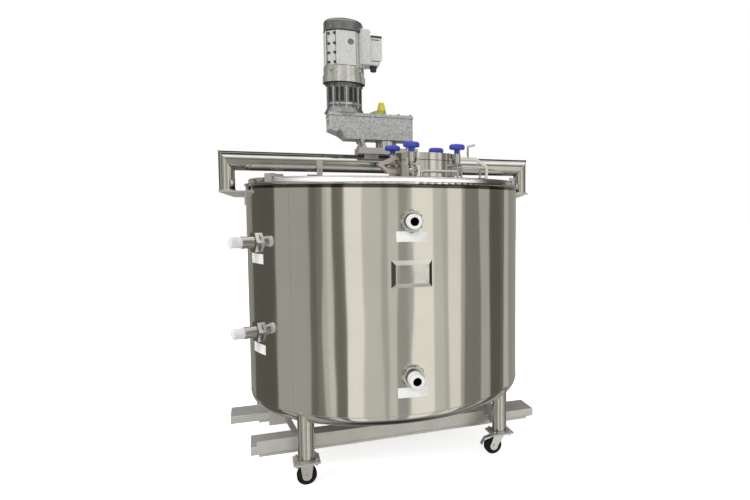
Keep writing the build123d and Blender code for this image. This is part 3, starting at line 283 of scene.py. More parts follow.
def build_floor(shape):
    signs = [(-1, -1), (1, -1), (1, 1), (-1, 1)]
    shape.faces.new([shape.verts.new((FLOOR_HALF * x, FLOOR_HALF * y, 0.0)) for x, y in signs])


floor = mesh_object("studio_floor", build_floor)
floor_finish = bpy.data.materials.new("pale_floor")
floor_finish.use_nodes = True
tree = floor_finish.node_tree
base = tree.nodes["Principled BSDF"]
base.inputs["Base Color"].default_value = (0.92, 0.92, 0.92, 1)
base.inputs["Roughness"].default_value = 0.9
base.inputs["Specular IOR Level"].default_value = 0.1
glow_inputs = {"Color": (1, 1, 1, 1), "Strength": FLOOR_GLOW}
glow = node(tree, "ShaderNodeEmission", glow_inputs).outputs[0]
dark = node(tree, "ShaderNodeEmission", {"Strength": 0.0}).outputs[0]
to_camera = node(tree, "ShaderNodeLightPath").outputs["Is Camera Ray"]
glow_seen = node(tree, "ShaderNodeMixShader", {0: to_camera, 1: dark, 2: glow}).outputs[0]
both = node(tree, "ShaderNodeAddShader", {0: base.outputs[0], 1: glow_seen}).outputs[0]
tree.links.new(both, tree.nodes["Material Output"].inputs["Surface"])
floor.data.materials.append(floor_finish)
floor.visible_glossy = False
print("floor laid,", 2 * FLOOR_HALF, "m across")

# %% [markdown]
# ## Shared effects
# Several finishes share the same small facts: sheet is never quite flat, polishing leaves fine
# lines, castings have a skin, and hands leave marks. Each is a node group with its own inputs, so
# a finish is a short list of effects with its own numbers.

# %% Group helper
FLOAT, VECTOR = "NodeSocketFloat", "NodeSocketVector"


def new_group(name, inputs, outputs):
    """An empty group, its input sockets to read from and its output sockets to fill."""
    made = bpy.data.node_groups.new(name, "ShaderNodeTree")
    for label, kind, value in inputs:
        socket = made.interface.new_socket(label, in_out="INPUT", socket_type=kind)
        if value is not None:
            socket.default_value = value
    for label, kind in outputs:
        made.interface.new_socket(label, in_out="OUTPUT", socket_type=kind)
    source = made.nodes.new("NodeGroupInput")
    target = made.nodes.new("NodeGroupOutput")
    return made, source.outputs, target.inputs


print("group helper ready")

# %% [markdown]
# Rolled round a drum, a sheet's grain follows the drum. This group turns a point into distance
# round the tank and height, both in metres, so that grain and seams can be laid on the shell.

# %% Group: round the tank
around, source, target = new_group(
    "round_the_tank",
    [("Axis Y", FLOAT, 0.0)],
    [("Vector", VECTOR), ("Turn", FLOAT), ("Height", FLOAT)],
)
place = node(around, "ShaderNodeTexCoord").outputs["Object"]
parts = node(around, "ShaderNodeSeparateXYZ", {"Vector": place}).outputs
offset = maths(around, "SUBTRACT", parts["Y"], source["Axis Y"])
angle = maths(around, "ARCTAN2", parts["X"], maths(around, "MULTIPLY", offset, -1.0))
distance = maths(around, "MULTIPLY", angle, SHELL_RADIUS)
joined = node(around, "ShaderNodeCombineXYZ", {"X": distance, "Y": parts["Z"]})
around.links.new(joined.outputs[0], target["Vector"])
around.links.new(angle, target["Turn"])
around.links.new(parts["Z"], target["Height"])
print("group", around.name)

# %% [markdown]
# A polishing wheel leaves lines that are long one way and very fine the other. Noise that is
# stretched by a different number on each axis draws them at any scale.

# %% Group: polishing grain
grain, source, target = new_group(
    "polishing_grain",
    [("Vector", VECTOR, None), ("Lines", VECTOR, (900.0, 8.0, 8.0)), ("Contrast", FLOAT, 1.0)],
    [("Grain", FLOAT), ("Height", FLOAT)],
)
stretch = {0: source["Vector"], 1: source["Lines"]}
scaled = node(grain, "ShaderNodeVectorMath", stretch, operation="MULTIPLY").outputs[0]
centred = maths(grain, "SUBTRACT", noise(grain, scaled, 1.0, 4.0, 0.65), 0.5)
strength = maths(grain, "MULTIPLY", centred, source["Contrast"])
grain.links.new(maths(grain, "ADD", strength, 0.5), target["Grain"])
grain.links.new(strength, target["Height"])
print("group", grain.name)

# %% [markdown]
# Thin sheet is never quite flat. A slow swell in the normal bends the reflected panels a little,
# and that tells the eye that the drum is rolled sheet and not a perfect mirror.

# %% Group: uneven sheet
waves, source, target = new_group(
    "uneven_sheet",
    [("Vector", VECTOR, None), ("Spread", VECTOR, (7.0, 1.2, 1.0))],
    [("Height", FLOAT)],
)
stretch = {0: source["Vector"], 1: source["Spread"]}
scaled = node(waves, "ShaderNodeVectorMath", stretch, operation="MULTIPLY").outputs[0]
waves.links.new(noise(waves, scaled, 1.0, 1.5, 0.4), target["Height"])
print("group", waves.name)

# %% [markdown]
# Hands and rags leave cloudy marks. The group gives a soft mask, and each finish decides how
# much darker it turns where the mask is on.

# %% Group: handling marks
marks, source, target = new_group(
    "handling_marks",
    [("Vector", VECTOR, None), ("Size", FLOAT, 6.0), ("Cover", FLOAT, 0.5)],
    [("Mask", FLOAT)],
)
cloud = noise(marks, source["Vector"], source["Size"], 5.0, 0.6)
bare = maths(marks, "MULTIPLY", maths(marks, "SUBTRACT", 1.0, source["Cover"]), 0.7)
soft = maths(marks, "MULTIPLY", maths(marks, "SUBTRACT", cloud, bare), 3.0)
clamped = node(marks, "ShaderNodeClamp", {"Value": soft})
marks.links.new(clamped.outputs[0], target["Mask"])
print("group", marks.name)

# %% [markdown]
# Sand leaves its print on a casting: fine bumps, small pits and a blotchy tone. Noise gives the
# bumps, a Voronoi pattern the pits, and a wider noise the blotches.

# %% Group: cast skin
skin, source, target = new_group(
    "cast_skin",
    [("Vector", VECTOR, None), ("Size", FLOAT, 160.0)],
    [("Height", FLOAT), ("Tone", FLOAT)],
)
fine = noise(skin, source["Vector"], source["Size"], 4.0, 0.7)
pit_inputs = {"Vector": source["Vector"], "Scale": maths(skin, "MULTIPLY", source["Size"], 0.6)}
pits = node(skin, "ShaderNodeTexVoronoi", pit_inputs).outputs["Distance"]
blotch_scale = maths(skin, "MULTIPLY", source["Size"], 0.28)
skin.links.new(maths(skin, "MULTIPLY_ADD", pits, 0.35, fine), target["Height"])
skin.links.new(noise(skin, source["Vector"], blotch_scale, 5.0, 0.75), target["Tone"])
print("group", skin.name)

# %% [markdown]
# The covers' edges are rolled over. The CAD keeps them square, so this group tips the normal up
# with height, and the edge catches the light from above as a rolled one does.

# %% Group: rolled edge
rolled, source, target = new_group(
    "rolled_edge",
    [("Low", FLOAT, 0.0), ("High", FLOAT, 1.0), ("Tip", FLOAT, 0.5)],
    [("Normal", VECTOR)],
)
place = node(rolled, "ShaderNodeTexCoord").outputs["Object"]
level = node(rolled, "ShaderNodeSeparateXYZ", {"Vector": place}).outputs["Z"]
share = between(rolled, level, source["Low"], source["High"])
lift = node(rolled, "ShaderNodeCombineXYZ", {"Z": maths(rolled, "MULTIPLY", share, source["Tip"])})
facing = node(rolled, "ShaderNodeNewGeometry").outputs["Normal"]
tipped = node(rolled, "ShaderNodeVectorMath", {0: facing, 1: lift.outputs[0]}, operation="ADD")
even = node(rolled, "ShaderNodeVectorMath", {0: tipped.outputs[0]}, operation="NORMALIZE")
rolled.links.new(even.outputs[0], target["Normal"])
print("group", rolled.name)

# %% [markdown]
# The drum is closed by upright welds, ground flush. Each is a thin line at one bearing, so the
# mask only measures how far a point's bearing is from the weld's.

# %% Group: weld seam
seam, source, target = new_group(
    "weld_seam",
    [("Turn", FLOAT, 0.0), ("At", FLOAT, 0.0), ("Width", FLOAT, 0.003)],
    [("Mask", FLOAT)],
)
away = maths(seam, "ABSOLUTE", maths(seam, "SUBTRACT", source["Turn"], source["At"]))
inside = maths(seam, "DIVIDE", away, source["Width"])
near = node(seam, "ShaderNodeClamp", {"Value": maths(seam, "SUBTRACT", 1.0, inside)})
seam.links.new(near.outputs[0], target["Mask"])
print("group", seam.name)

# %% [markdown]
# A finish starts as a plain Principled shader with its constants set on its own sockets. Effects
# are then placed in it, one call each, and joined to colour, roughness and normal.

# %% Finish helpers
def effect(tree, group, **inputs):
    """Places a group in a finish; an underscore stands for a space in a socket's name."""
    made = tree.nodes.new("ShaderNodeGroup")
    made.node_tree = group
    for name, value in inputs.items():
        plug(tree, made.inputs[name.replace("_", " ")], value)
    return made.outputs


def finish(name, metallic=0.0, **constants):
    """A new material, its node tree and its shader's inputs."""
    made = bpy.data.materials.new(name)
    made.use_nodes = True
    shader = made.node_tree.nodes["Principled BSDF"]
    shader.inputs["Metallic"].default_value = metallic
    for label, value in constants.items():
        shader.inputs[label.replace("_", " ")].default_value = value
    return made, made.node_tree, shader.inputs


def object_place(tree):
    return node(tree, "ShaderNodeTexCoord").outputs["Object"]


def bump(tree, height, strength, distance, normal=None):
    inputs = {"Height": height, "Strength": strength, "Distance": distance}
    made = node(tree, "ShaderNodeBump", inputs)
    if normal is not None:
        tree.links.new(normal, made.inputs["Normal"])
    return made.outputs["Normal"]


print("finish helpers ready")

# %% [markdown]
# ## Polished steel
# The shell is mirror polished sheet with two upright weld seams. Its colour is only what it
# reflects, so the finish is a low roughness, a slow unevenness that bends the reflections, and
# fine upright lines from the polishing wheel. Under the rim's bead the sheet sits in shade, and a
# dark band there stands for it.

# %% Finish: polished shell
SEAM_BEARINGS = (19.4, -48.1)
SEAM_WIDTH = 0.0024
CLEAN_STEEL = (0.640, 0.630, 0.610)
SMEARED_STEEL = (0.600, 0.585, 0.555)
SEAM_STEEL = (0.30, 0.29, 0.27)
SHADED_STEEL = (0.085, 0.08, 0.07)
SHADE_BAND = (RIM_Z - 0.0190, RIM_Z - 0.0160)

polished_shell, tree, shader = finish("polished_shell_steel", metallic=1.0)
on_shell = effect(tree, around, Axis_Y=AXIS_Y)
rolled_out = on_shell["Vector"]
lines = effect(tree, grain, Vector=rolled_out, Lines=(420.0, 3.0, 1.0), Contrast=0.8)
swell = effect(tree, waves, Vector=rolled_out, Spread=(9.0, 1.1, 1.0))
smears = effect(tree, marks, Vector=rolled_out, Size=3.0, Cover=0.45)
right, left = (
    effect(tree, seam, Turn=on_shell["Turn"], At=math.radians(degrees), Width=SEAM_WIDTH)["Mask"]
    for degrees in SEAM_BEARINGS
)
seams = maths(tree, "MULTIPLY", maths(tree, "MAXIMUM", right, left), 0.45)
clean = blend_colour(tree, smears["Mask"], CLEAN_STEEL, SMEARED_STEEL)
seamed = blend_colour(tree, seams, clean, SEAM_STEEL)
under_bead = between(tree, on_shell["Height"], *SHADE_BAND)
shaded = blend_colour(tree, under_bead, seamed, SHADED_STEEL)
tree.links.new(shaded, shader["Base Color"])
tree.links.new(spread(tree, lines["Grain"], 0.055, 0.115), shader["Roughness"])
slow = bump(tree, swell["Height"], 1.0, 0.0022)
tree.links.new(bump(tree, lines["Height"], 0.25, 0.00002, slow), shader["Normal"])
print("finish", polished_shell.name)

# %% [markdown]
# The other steels differ in tone, in roughness and in the way their grain runs: along a pipe,
# round a turned fitting, or evenly over a sheet. One function makes them all, so each takes one
# line with its own numbers.

# %% Finish: polished and brushed steel for the rest
GRAIN_CONTRAST = 0.8
SMEAR_SIZE, SMEAR_COVER, SMEAR_TONE = 14.0, 0.5, 0.88
FINE, MEDIUM, COARSE = 0.00004, 0.00006, 0.0001


def steel(name, colour, roughness, lines, depth=FINE, wave=0.0, metallic=1.0):
    made, tree, shader = finish(name, metallic=metallic)
    place = object_place(tree)
    rubbed = effect(tree, grain, Vector=place, Lines=lines, Contrast=GRAIN_CONTRAST)
    smear = effect(tree, marks, Vector=place, Size=SMEAR_SIZE, Cover=SMEAR_COVER)
    darker = tuple(SMEAR_TONE * c for c in colour)
    tree.links.new(blend_colour(tree, smear["Mask"], colour, darker), shader["Base Color"])
    tree.links.new(spread(tree, rubbed["Grain"], *roughness), shader["Roughness"])
    normal = None
    if wave:
        slow = effect(tree, waves, Vector=place, Spread=(14.0, 14.0, 14.0))
        normal = bump(tree, slow["Height"], 1.0, wave)
    tree.links.new(bump(tree, rubbed["Height"], 0.3, depth, normal), shader["Normal"])
    return made


STEEL = (0.62, 0.61, 0.59)
DULL_STEEL = (0.56, 0.55, 0.53)
PIPE_STEEL = (0.50, 0.49, 0.46)
ALONG_PIPE, ALONG_LEG = (6.0, 300.0, 300.0), (300.0, 300.0, 6.0)
polished_sheet = steel("polished_sheet_steel", STEEL, (0.06, 0.13), (60.0,) * 3, wave=0.0006)
satin_cover = steel("satin_cover_steel", STEEL, (0.26, 0.38), (40.0,) * 3, wave=0.0004)
polished_pipe = steel("polished_pipe_steel", PIPE_STEEL, (0.07, 0.14), ALONG_PIPE, wave=0.0003)
polished_rod = steel("polished_rod_steel", STEEL, (0.10, 0.18), (60.0,) * 3)
leg_pipe = steel("polished_leg_steel", DULL_STEEL, (0.09, 0.17), ALONG_LEG)
turned_steel = steel("turned_steel", (0.60, 0.59, 0.57), (0.12, 0.22), (30.0, 30.0, 900.0))
satin_cast = steel("blasted_cast_steel", (0.66, 0.58, 0.55), (0.36, 0.48), (260.0,) * 3, COARSE)
zinc_plate = steel("zinc_plated_steel", (0.62, 0.62, 0.62), (0.20, 0.34), (200.0,) * 3)
print("polished steels ready")

# %% [markdown]
# Plates and beams are brushed: they scatter light more than they mirror it. A lower Metallic
# lets the even dome show on them. The plate's frame has bevelled sides. Its facets left and right
# get a dark copy of its steel as painted shade, and those above and below get a light copy as a
# painted highlight.

# %% Finish: brushed plate, beams and the plate's facets
BRUSHED_PLATE = ((0.24, 0.38), (10.0, 500.0, 500.0), MEDIUM)
BRUSHED_BEAM = ((0.30, 0.42), (4.0, 420.0, 420.0), MEDIUM)
brushed_plate = steel("brushed_plate_steel", DULL_STEEL, *BRUSHED_PLATE, metallic=0.5)
brushed_beam = steel("brushed_beam_steel", (0.64, 0.63, 0.60), *BRUSHED_BEAM, metallic=0.5)
# Painted shade and painted light: one frame steel, dark on its side facets and light elsewhere.
facet_painted_shade = steel("plate_facet_painted_shade", (0.14, 0.135, 0.12), (0.20, 0.32), (200.0,) * 3)
facet_painted_light = steel(
    "plate_facet_painted_light", (0.74, 0.73, 0.68), (0.30, 0.42), (200.0,) * 3, metallic=0.4
)
print("brushed steels ready")

# %% [markdown]
# Each cover's upright edge is a rolled lip over a dark crease. The lip's normal comes from the
# rolled edge group, and its colour is a painted highlight, lighter than the cover's own steel. The
# crease is painted shade, a dark tone just above the rim.

# %% Finish: rolled edge of the covers
ROLL_BAND = (RIM_Z + 0.003, RIM_Z + 0.008)
CREASE_BAND = (RIM_Z + 0.0080, RIM_Z + 0.0062)
CREASE_SHADE = (0.06, 0.06, 0.055)

rolled_edge_light_and_shade, tree, shader = finish("rolled_edge_light_and_shade_steel", metallic=1.0, Roughness=0.14)
place = object_place(tree)
edge = effect(tree, rolled, Low=ROLL_BAND[0], High=ROLL_BAND[1], Tip=0.55)
rubbed = effect(tree, grain, Vector=place, Lines=(80.0, 80.0, 80.0))
# Painted highlight: the lip is lighter than the cover's own steel.
bright = blend_colour(tree, rubbed["Grain"], (0.76, 0.75, 0.72), (0.88, 0.87, 0.84))
level = node(tree, "ShaderNodeSeparateXYZ", {"Vector": place}).outputs["Z"]
# Painted shade in the crease just above the rim.
in_crease = between(tree, level, *CREASE_BAND)
tree.links.new(blend_colour(tree, in_crease, bright, CREASE_SHADE), shader["Base Color"])
tree.links.new(edge["Normal"], shader["Normal"])
print("finish", rolled_edge_light_and_shade.name)

# %% [markdown]
# ## Castings, paint and plastic
# The drive is painted grey over a rough casting: the paint is even, the skin under it isn't. The
# skin's tone also darkens the paint, and a low Metallic gives the sheen of aluminium paint.

# %% Finish: painted castings
PAINT_COAT, PAINT_COAT_ROUGHNESS = 0.15, 0.25


def cast_paint(name, light, dark, roughness, size, depth, metallic):
    coat = {"Coat_Weight": PAINT_COAT, "Coat_Roughness": PAINT_COAT_ROUGHNESS}
    made, tree, shader = finish(name, metallic=metallic, **coat)
    cast = effect(tree, skin, Vector=object_place(tree), Size=size)
    tone = spread(tree, cast["Tone"], -0.6, 1.6)
    rough = spread(tree, cast["Tone"], roughness + 0.1, roughness - 0.1)
    tree.links.new(blend_colour(tree, tone, dark, light), shader["Base Color"])
    tree.links.new(rough, shader["Roughness"])
    tree.links.new(bump(tree, cast["Height"], 0.5, depth), shader["Normal"])
    return made


GEARBOX_TONES = ((0.76, 0.76, 0.75), (0.20, 0.20, 0.195))
MOTOR_TONES = ((0.34, 0.34, 0.34), (0.16, 0.16, 0.16))
BELL_TONES = ((0.82, 0.82, 0.80), (0.55, 0.55, 0.54))
PAD_TONES = ((0.84, 0.84, 0.82), (0.56, 0.56, 0.55))
ADAPTER_TONES = ((0.30, 0.30, 0.30), (0.14, 0.14, 0.14))
gearbox_paint = cast_paint("gearbox_cast_paint", *GEARBOX_TONES, 0.42, 460.0, 0.0011, 0.15)
motor_paint = cast_paint("motor_paint", *MOTOR_TONES, 0.32, 200.0, 0.0003, 0.75)
bell_paint = cast_paint("end_bell_paint", *BELL_TONES, 0.26, 200.0, 0.0002, 0.8)
motor_pad_paint = cast_paint("motor_pad_paint", *PAD_TONES, 0.34, 260.0, 0.0003, 0.25)
dark_paint = cast_paint("adapter_paint", *ADAPTER_TONES, 0.32, 200.0, 0.0004, 0.6)
print("paints ready")

# %% [markdown]
# Moulded plastic has a faint skin of its own and picks up marks from hands. Knobs are glossy with
# a thin coat, caps and labels are half matt, and tyre rubber hardly shines at all.

# %% Finish: plastic, rubber and film
SKIN_SIZE = 500.0
MARK_SIZE, MARK_COVER, MARK_TONE = 30.0, 0.4, 0.82


def plastic(name, colour, roughness, depth=0.00008, coat=0.0, specular=0.5):
    constants = {"Coat_Weight": coat, "Coat_Roughness": 0.2, "Specular_IOR_Level": specular}
    made, tree, shader = finish(name, **constants)
    place = object_place(tree)
    cast = effect(tree, skin, Vector=place, Size=SKIN_SIZE)
    soiled = effect(tree, marks, Vector=place, Size=MARK_SIZE, Cover=MARK_COVER)
    darker = tuple(MARK_TONE * c for c in colour)
    rough = spread(tree, cast["Tone"], roughness - 0.06, roughness + 0.06)
    tree.links.new(blend_colour(tree, soiled["Mask"], colour, darker), shader["Base Color"])
    tree.links.new(rough, shader["Roughness"])
    tree.links.new(bump(tree, cast["Height"], 0.3, depth), shader["Normal"])
    return made


RUBBER, FILM = (0.012, 0.012, 0.012), (0.94, 0.94, 0.92)
blue_knob = plastic("blue_knob_plastic", (0.045, 0.060, 0.50), 0.34, coat=0.2)
white_cap = plastic("white_cap_plastic", (0.90, 0.90, 0.88), 0.45)
plug_yellow = plastic("plug_yellow_plastic", (0.80, 0.70, 0.07), 0.38)
plug_green = plastic("plug_green_plastic", (0.42, 0.44, 0.09), 0.40)
tyre_rubber = plastic("black_tyre_rubber", RUBBER, 0.7, depth=0.0002, specular=0.2)
label_film = plastic("blank_label_film", FILM, 0.40, depth=0.00002, specular=0.3)
print("plastics ready")

# %% [markdown]
# ## Dress the CAD pieces
# Each CAD piece gets the finish of the real one. Its curved faces are shaded smooth, with the
# real edges kept sharp, or polished steel would show every facet.

# %% Assign the finishes
FINISHES = {
    polished_shell: ["jacket_shell", "jacket_bottom"],
    satin_cover: ["front_cover", "rear_cover"],
    polished_sheet: ["inner_vessel", "rim_ring", "manway_lid", "manway_neck", "nameplate"],
    facet_painted_light: ["nameplate_frame"],
    polished_pipe: ["bridge_pipe"],
    polished_rod: ["cover_handle", "cover_guard", "lever_arm"],
    leg_pipe: ["bridge_legs", "legs"],
    brushed_plate: [
        "bridge_brackets", "bridge_clips", "motor_mount", "leg_plates", "leg_ties",
        "beam_struts", "beam_hangers", "cover_clips", "cover_hinges", "swing_bolt_lugs",
    ],
    brushed_beam: ["base_beams", "beam_rails", "beam_strips"],
    turned_steel: [
        "jacket_fittings", "output_flange",
        "swing_bolt_1", "swing_bolt_2", "swing_bolt_3", "swing_bolt_4",
    ],
    satin_cast: ["manway_hinge"],
    zinc_plate: ["rigid_forks", "swivel_races", "swivel_fork_front", "swivel_fork_rear"],
    gearbox_paint: ["gearbox", "gearbox_cover"],
    motor_paint: ["fan_cover"],
    bell_paint: ["motor_end_bell"],
    motor_pad_paint: ["motor_body", "terminal_box"],
    dark_paint: ["motor_adapter"],
    blue_knob: ["clamp_knob_1", "clamp_knob_2", "clamp_knob_3", "clamp_knob_4"],
    white_cap: ["fitting_sleeves", "fitting_caps"],
    plug_green: ["breather_plug"],
    tyre_rubber: [
        "wheel_front_left", "wheel_rear_left", "wheel_front_right", "wheel_rear_right",
    ],
}
SHARP_EDGE = math.radians(28)


def dress(piece, material):
    piece.data.materials.clear()
    piece.data.materials.append(material)
    for face in piece.data.polygons:
        face.use_smooth = True
        face.material_index = 0
    piece.data.set_sharp_from_angle(angle=SHARP_EDGE)


for material, names in FINISHES.items():
    for name in names:
        dress(nodes[name], material)
print("dressed", sum(len(names) for names in FINISHES.values()), "of", len(nodes))

# %% [markdown]
# Three pieces carry two finishes. The breather plug has a yellow cap on a green foot, the covers
# have their rolled edge with its painted highlight and crease shade, and the plate's frame has
# painted shade on its facets left and right. A face's own place or direction says which finish it
# gets, so the CAD mesh needs no cutting.

# %% Give some faces a second finish
PLUG_CAP_Z = 1.540
EDGE_LOW, EDGE_HIGH = RIM_Z - 0.004, RIM_Z + 0.02
TURNED_AWAY = 0.3


def dress_some(piece, material, chosen):
    """A second finish on the faces that are chosen."""
    piece.data.materials.append(material)
    for face in piece.data.polygons:
        if chosen(face):
            face.material_index = 1


def on_cover_edge(face):
    return abs(face.normal.z) < TURNED_AWAY and EDGE_LOW < face.center.z < EDGE_HIGH


def looks_sideways(face):
    return abs(face.normal.x) > TURNED_AWAY


dress_some(nodes["breather_plug"], plug_yellow, lambda face: face.center.z > PLUG_CAP_Z)
dress_some(nodes["front_cover"], rolled_edge_light_and_shade, on_cover_edge)
dress_some(nodes["rear_cover"], rolled_edge_light_and_shade, on_cover_edge)
# The frame's sideways facets get the painted shade.
dress_some(nodes["nameplate_frame"], facet_painted_shade, looks_sideways)
print("second finishes on the plug, the covers and the plate's frame")

# %% [markdown]
# ## Small parts
# Screws, weld beads and seals are what make a tank look built rather than drawn. Their places are
# easiest to give in millimetres from the tank's own axis, so we start with points on the axis,
# on a circle and on the drum.

# %% Point helpers
MM = 0.001
UP = (0, 0, 1)
SHELL_MM = SHELL_RADIUS / MM


def at(x, y, z):
    """A point in millimetres, measured from the tank's own axis."""
    return Vector((x * MM, y * MM + AXIS_Y, z * MM))


def on_drum(turn, z, radius):
    """A point on a drum round the tank's axis; turn is measured from the front."""
    return Vector((radius * math.sin(turn), AXIS_Y - radius * math.cos(turn), z))


def circle_points(x, y, z, radius, count=48):
    turns = [2 * math.pi * step / count for step in range(count)]
    return [at(x + radius * math.cos(t), y + radius * math.sin(t), z) for t in turns]


def spoke(degrees):
    """The directions straight out and sideways at a bearing about an upright axis."""
    t = math.radians(degrees)
    return Vector((math.cos(t), math.sin(t), 0)), Vector((-math.sin(t), math.cos(t), 0))


def aim(spot, direction, spin=0.0):
    """A place whose own Z looks along a direction."""
    turn = Vector(direction).to_track_quat("Z", "Y").to_matrix().to_4x4()
    return Matrix.Translation(spot) @ turn @ Matrix.Rotation(spin, 4, "Z")


print("a point on the rim's front:", [round(v, 3) for v in on_drum(0.0, RIM_Z, SHELL_RADIUS)])

# %% [markdown]
# Screws, nuts, rings and seals are all turned parts. A lathe needs only half of their section,
# and a section that doesn't reach the axis is closed into a ring, so every part is a solid.

# %% Turn a profile
def lathe(shape, profile, place, steps=24):
    """Turns a profile of (radius, level) pairs in millimetres about the place's own Z."""
    rings = []
    for radius, level in profile:
        ring = []
        for step in range(steps if radius > 0 else 1):
            turn = 2 * math.pi * step / steps
            point = Vector((radius * math.cos(turn), radius * math.sin(turn), level)) * MM
            ring.append(shape.verts.new(place @ point))
        rings.append(ring)
    pairs = list(zip(rings, rings[1:]))
    if profile[0][0] > 0 and profile[-1][0] > 0:
        pairs.append((rings[-1], rings[0]))
    for lower, upper in pairs:
        for step in range(steps):
            after = (step + 1) % steps
            if len(lower) == 1:
                shape.faces.new((lower[0], upper[after], upper[step]))
            elif len(upper) == 1:
                shape.faces.new((lower[step], lower[after], upper[0]))
            else:
                shape.faces.new((lower[step], lower[after], upper[after], upper[step]))


print("lathe ready")

# %% [markdown]
# A weld bead is a thin rope of metal that follows a seam. We sweep a small circle along the
# seam's points and swell it a little from pool to pool.

# %% Run a bead
POOL_PITCH = 2.3


def tube(shape, points, radius, closed=True, sides=8, ripple=0.0, up=(0.0, 0.0, 1.0)):
    """Runs a round bead along points; ripple swells it a little at each weld pool."""
    rings = []
    count = len(points)
    for index, point in enumerate(points):
        ahead = points[(index + 1) % count] if closed or index + 1 < count else point
        behind = points[index - 1] if closed or index > 0 else point
        along = (ahead - behind).normalized()
        side = along.cross(Vector(up)).normalized()
        over = side.cross(along)
        size = radius * MM * (1.0 + ripple * math.sin(index * POOL_PITCH))
        ring = []
        for step in range(sides):
            turn = 2 * math.pi * step / sides
            reach = side * size * math.cos(turn) + over * size * math.sin(turn)
            ring.append(shape.verts.new(point + reach))
        rings.append(ring)
    pairs = list(zip(rings, rings[1:]))
    if closed:
        pairs.append((rings[-1], rings[0]))
    else:
        shape.faces.new(rings[0])
        shape.faces.new(list(reversed(rings[-1])))
    for first, second in pairs:
        for step in range(sides):
            after = (step + 1) % sides
            shape.faces.new((first[step], second[step], second[after], first[after]))


print("bead ready")

# %% [markdown]
# Plates are blocks with their edges broken: a real edge is never quite sharp, and the thin bevel
# catches the light. Screws and bolts are turned, the hexagon being a lathe with six steps.

# %% Blocks, screws and bolts
BLOCK_SIDES = [(0, 1, 3, 2), (4, 6, 7, 5), (0, 4, 5, 1), (2, 3, 7, 6), (0, 2, 6, 4), (1, 5, 7, 3)]
SUNK = -0.5


def block(shape, corners, edge):
    """A block with its edges broken, from its eight corners."""
    verts = [shape.verts.new(corner) for corner in corners]
    faces = [shape.faces.new([verts[i] for i in side]) for side in BLOCK_SIDES]
    edges = list(dict.fromkeys(line for face in faces for line in face.edges))
    bmesh.ops.bevel(
        shape, geom=edges, offset=edge * MM, segments=2, affect="EDGES", profile=0.6
    )


def slab(shape, low, high, edge=0.8):
    """A thin plate between two corners in millimetres."""
    (x0, y0, z0), (x1, y1, z1) = low, high
    block(shape, [at(x, y, z) for x in (x0, x1) for y in (y0, y1) for z in (z0, z1)], edge)


def hex_bolt(shape, spot, direction, flats, spin=0.0):
    half = flats / 2
    corner = half / math.cos(math.radians(30))
    under, top = 0.2 * half, 1.5 * half
    washer = [(0, SUNK), (1.35 * half, SUNK), (1.35 * half, under), (0, under)]
    head = [(0, under), (corner, under), (corner, 1.3 * half), (0.93 * half, top), (0, top)]
    place = aim(spot, direction, spin)
    lathe(shape, washer, place)
    lathe(shape, head, place, steps=6)


def socket_screw(shape, spot, direction, size):
    r = size / 2
    rim = [(0, SUNK), (r, SUNK), (r, 0.8 * r), (0.86 * r, r)]
    socket = [(0.55 * r, r), (0.5 * r, 0.4 * r), (0, 0.4 * r)]
    lathe(shape, rim + socket, aim(spot, direction), steps=18)


print("screws ready")

# %% [markdown]
# Like pieces are kept in one mesh. Each new piece says which body it rides on, and which finish it
# gets.

# %% Add a piece
def add_piece(name, build, material, body="tank"):
    piece = mesh_object(name, build)
    piece.data.materials.append(material)
    for face in piece.data.polygons:
        face.use_smooth = True
    piece.data.set_sharp_from_angle(angle=SHARP_EDGE)
    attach(piece, body)
    return piece


# %% [markdown]
# The small parts need a few finishes of their own. A weld is rougher and browner than the sheet
# round it, a screw is cleaner, and seals and trim are black.

# %% Finish: welds, screws and seals
GRAINY = (200.0,) * 3
BLACK = (0.006, 0.006, 0.006)
weld_steel = steel("weld_bead_steel", (0.60, 0.57, 0.52), (0.22, 0.34), GRAINY, COARSE)
# Painted shade: a darker weld steel outlines the fittings' feet and darkens their grooves.
weld_painted_shade = steel("weld_painted_shade_steel", (0.20, 0.19, 0.17), (0.24, 0.36), GRAINY, COARSE)
screw_steel = steel("screw_steel", (0.58, 0.58, 0.57), (0.14, 0.26), (600.0,) * 3)
# Black for the seals and joint lines, and painted shade in the adapter's windows.
seal_rubber_and_painted_shade = plastic("seal_rubber_and_painted_shade", (0.022, 0.022, 0.023), 0.6)
hub_plastic = plastic("hub_dark_plastic", (0.05, 0.05, 0.052), 0.5, specular=0.3)
# Painted shade: the black that lines the ports' bores.
throat_painted_shade = plastic("port_throat_painted_shade", BLACK, 0.8, specular=0.05)
dark_trim = plastic("dark_trim_plastic", (0.045, 0.045, 0.047), 0.45)
print("small finishes ready")

# %% [markdown]
# ## Weld beads
# The shell meets its bottom in a fine bead, and each fitting stands on the shell in a heavier
# one. The fittings' feet are hexagons, so their beads follow a hexagon that is wrapped on the
# drum.

# %% Weld the shell and the fittings
KNUCKLE_Z = 292.0
FRONT_PORTS = [(-2.4, 1043.0, 62.0), (-2.4, 445.0, 86.0)]
SIDE_NIPPLES = [(-69.3, 952.0), (-69.3, 587.0)]
FITTING_HALF_FLATS = 39.2


def hexagon_on_shell(degrees, z, half_flats, count=72):
    """Points on the shell round the foot of a hexagon."""
    points = []
    for step in range(count):
        t = 2 * math.pi * step / count
        radius = half_flats / math.cos((t + math.pi / 6) % (math.pi / 3) - math.pi / 6)
        turn = math.radians(degrees) + radius * math.cos(t) / SHELL_MM
        points.append(on_drum(turn, (z + radius * math.sin(t)) * MM, SHELL_RADIUS))
    return points


def build_shell_welds(shape):
    seam_points = circle_points(0, 0, KNUCKLE_Z, SHELL_MM, 240)
    tube(shape, seam_points, 0.9, ripple=0.15, sides=6)


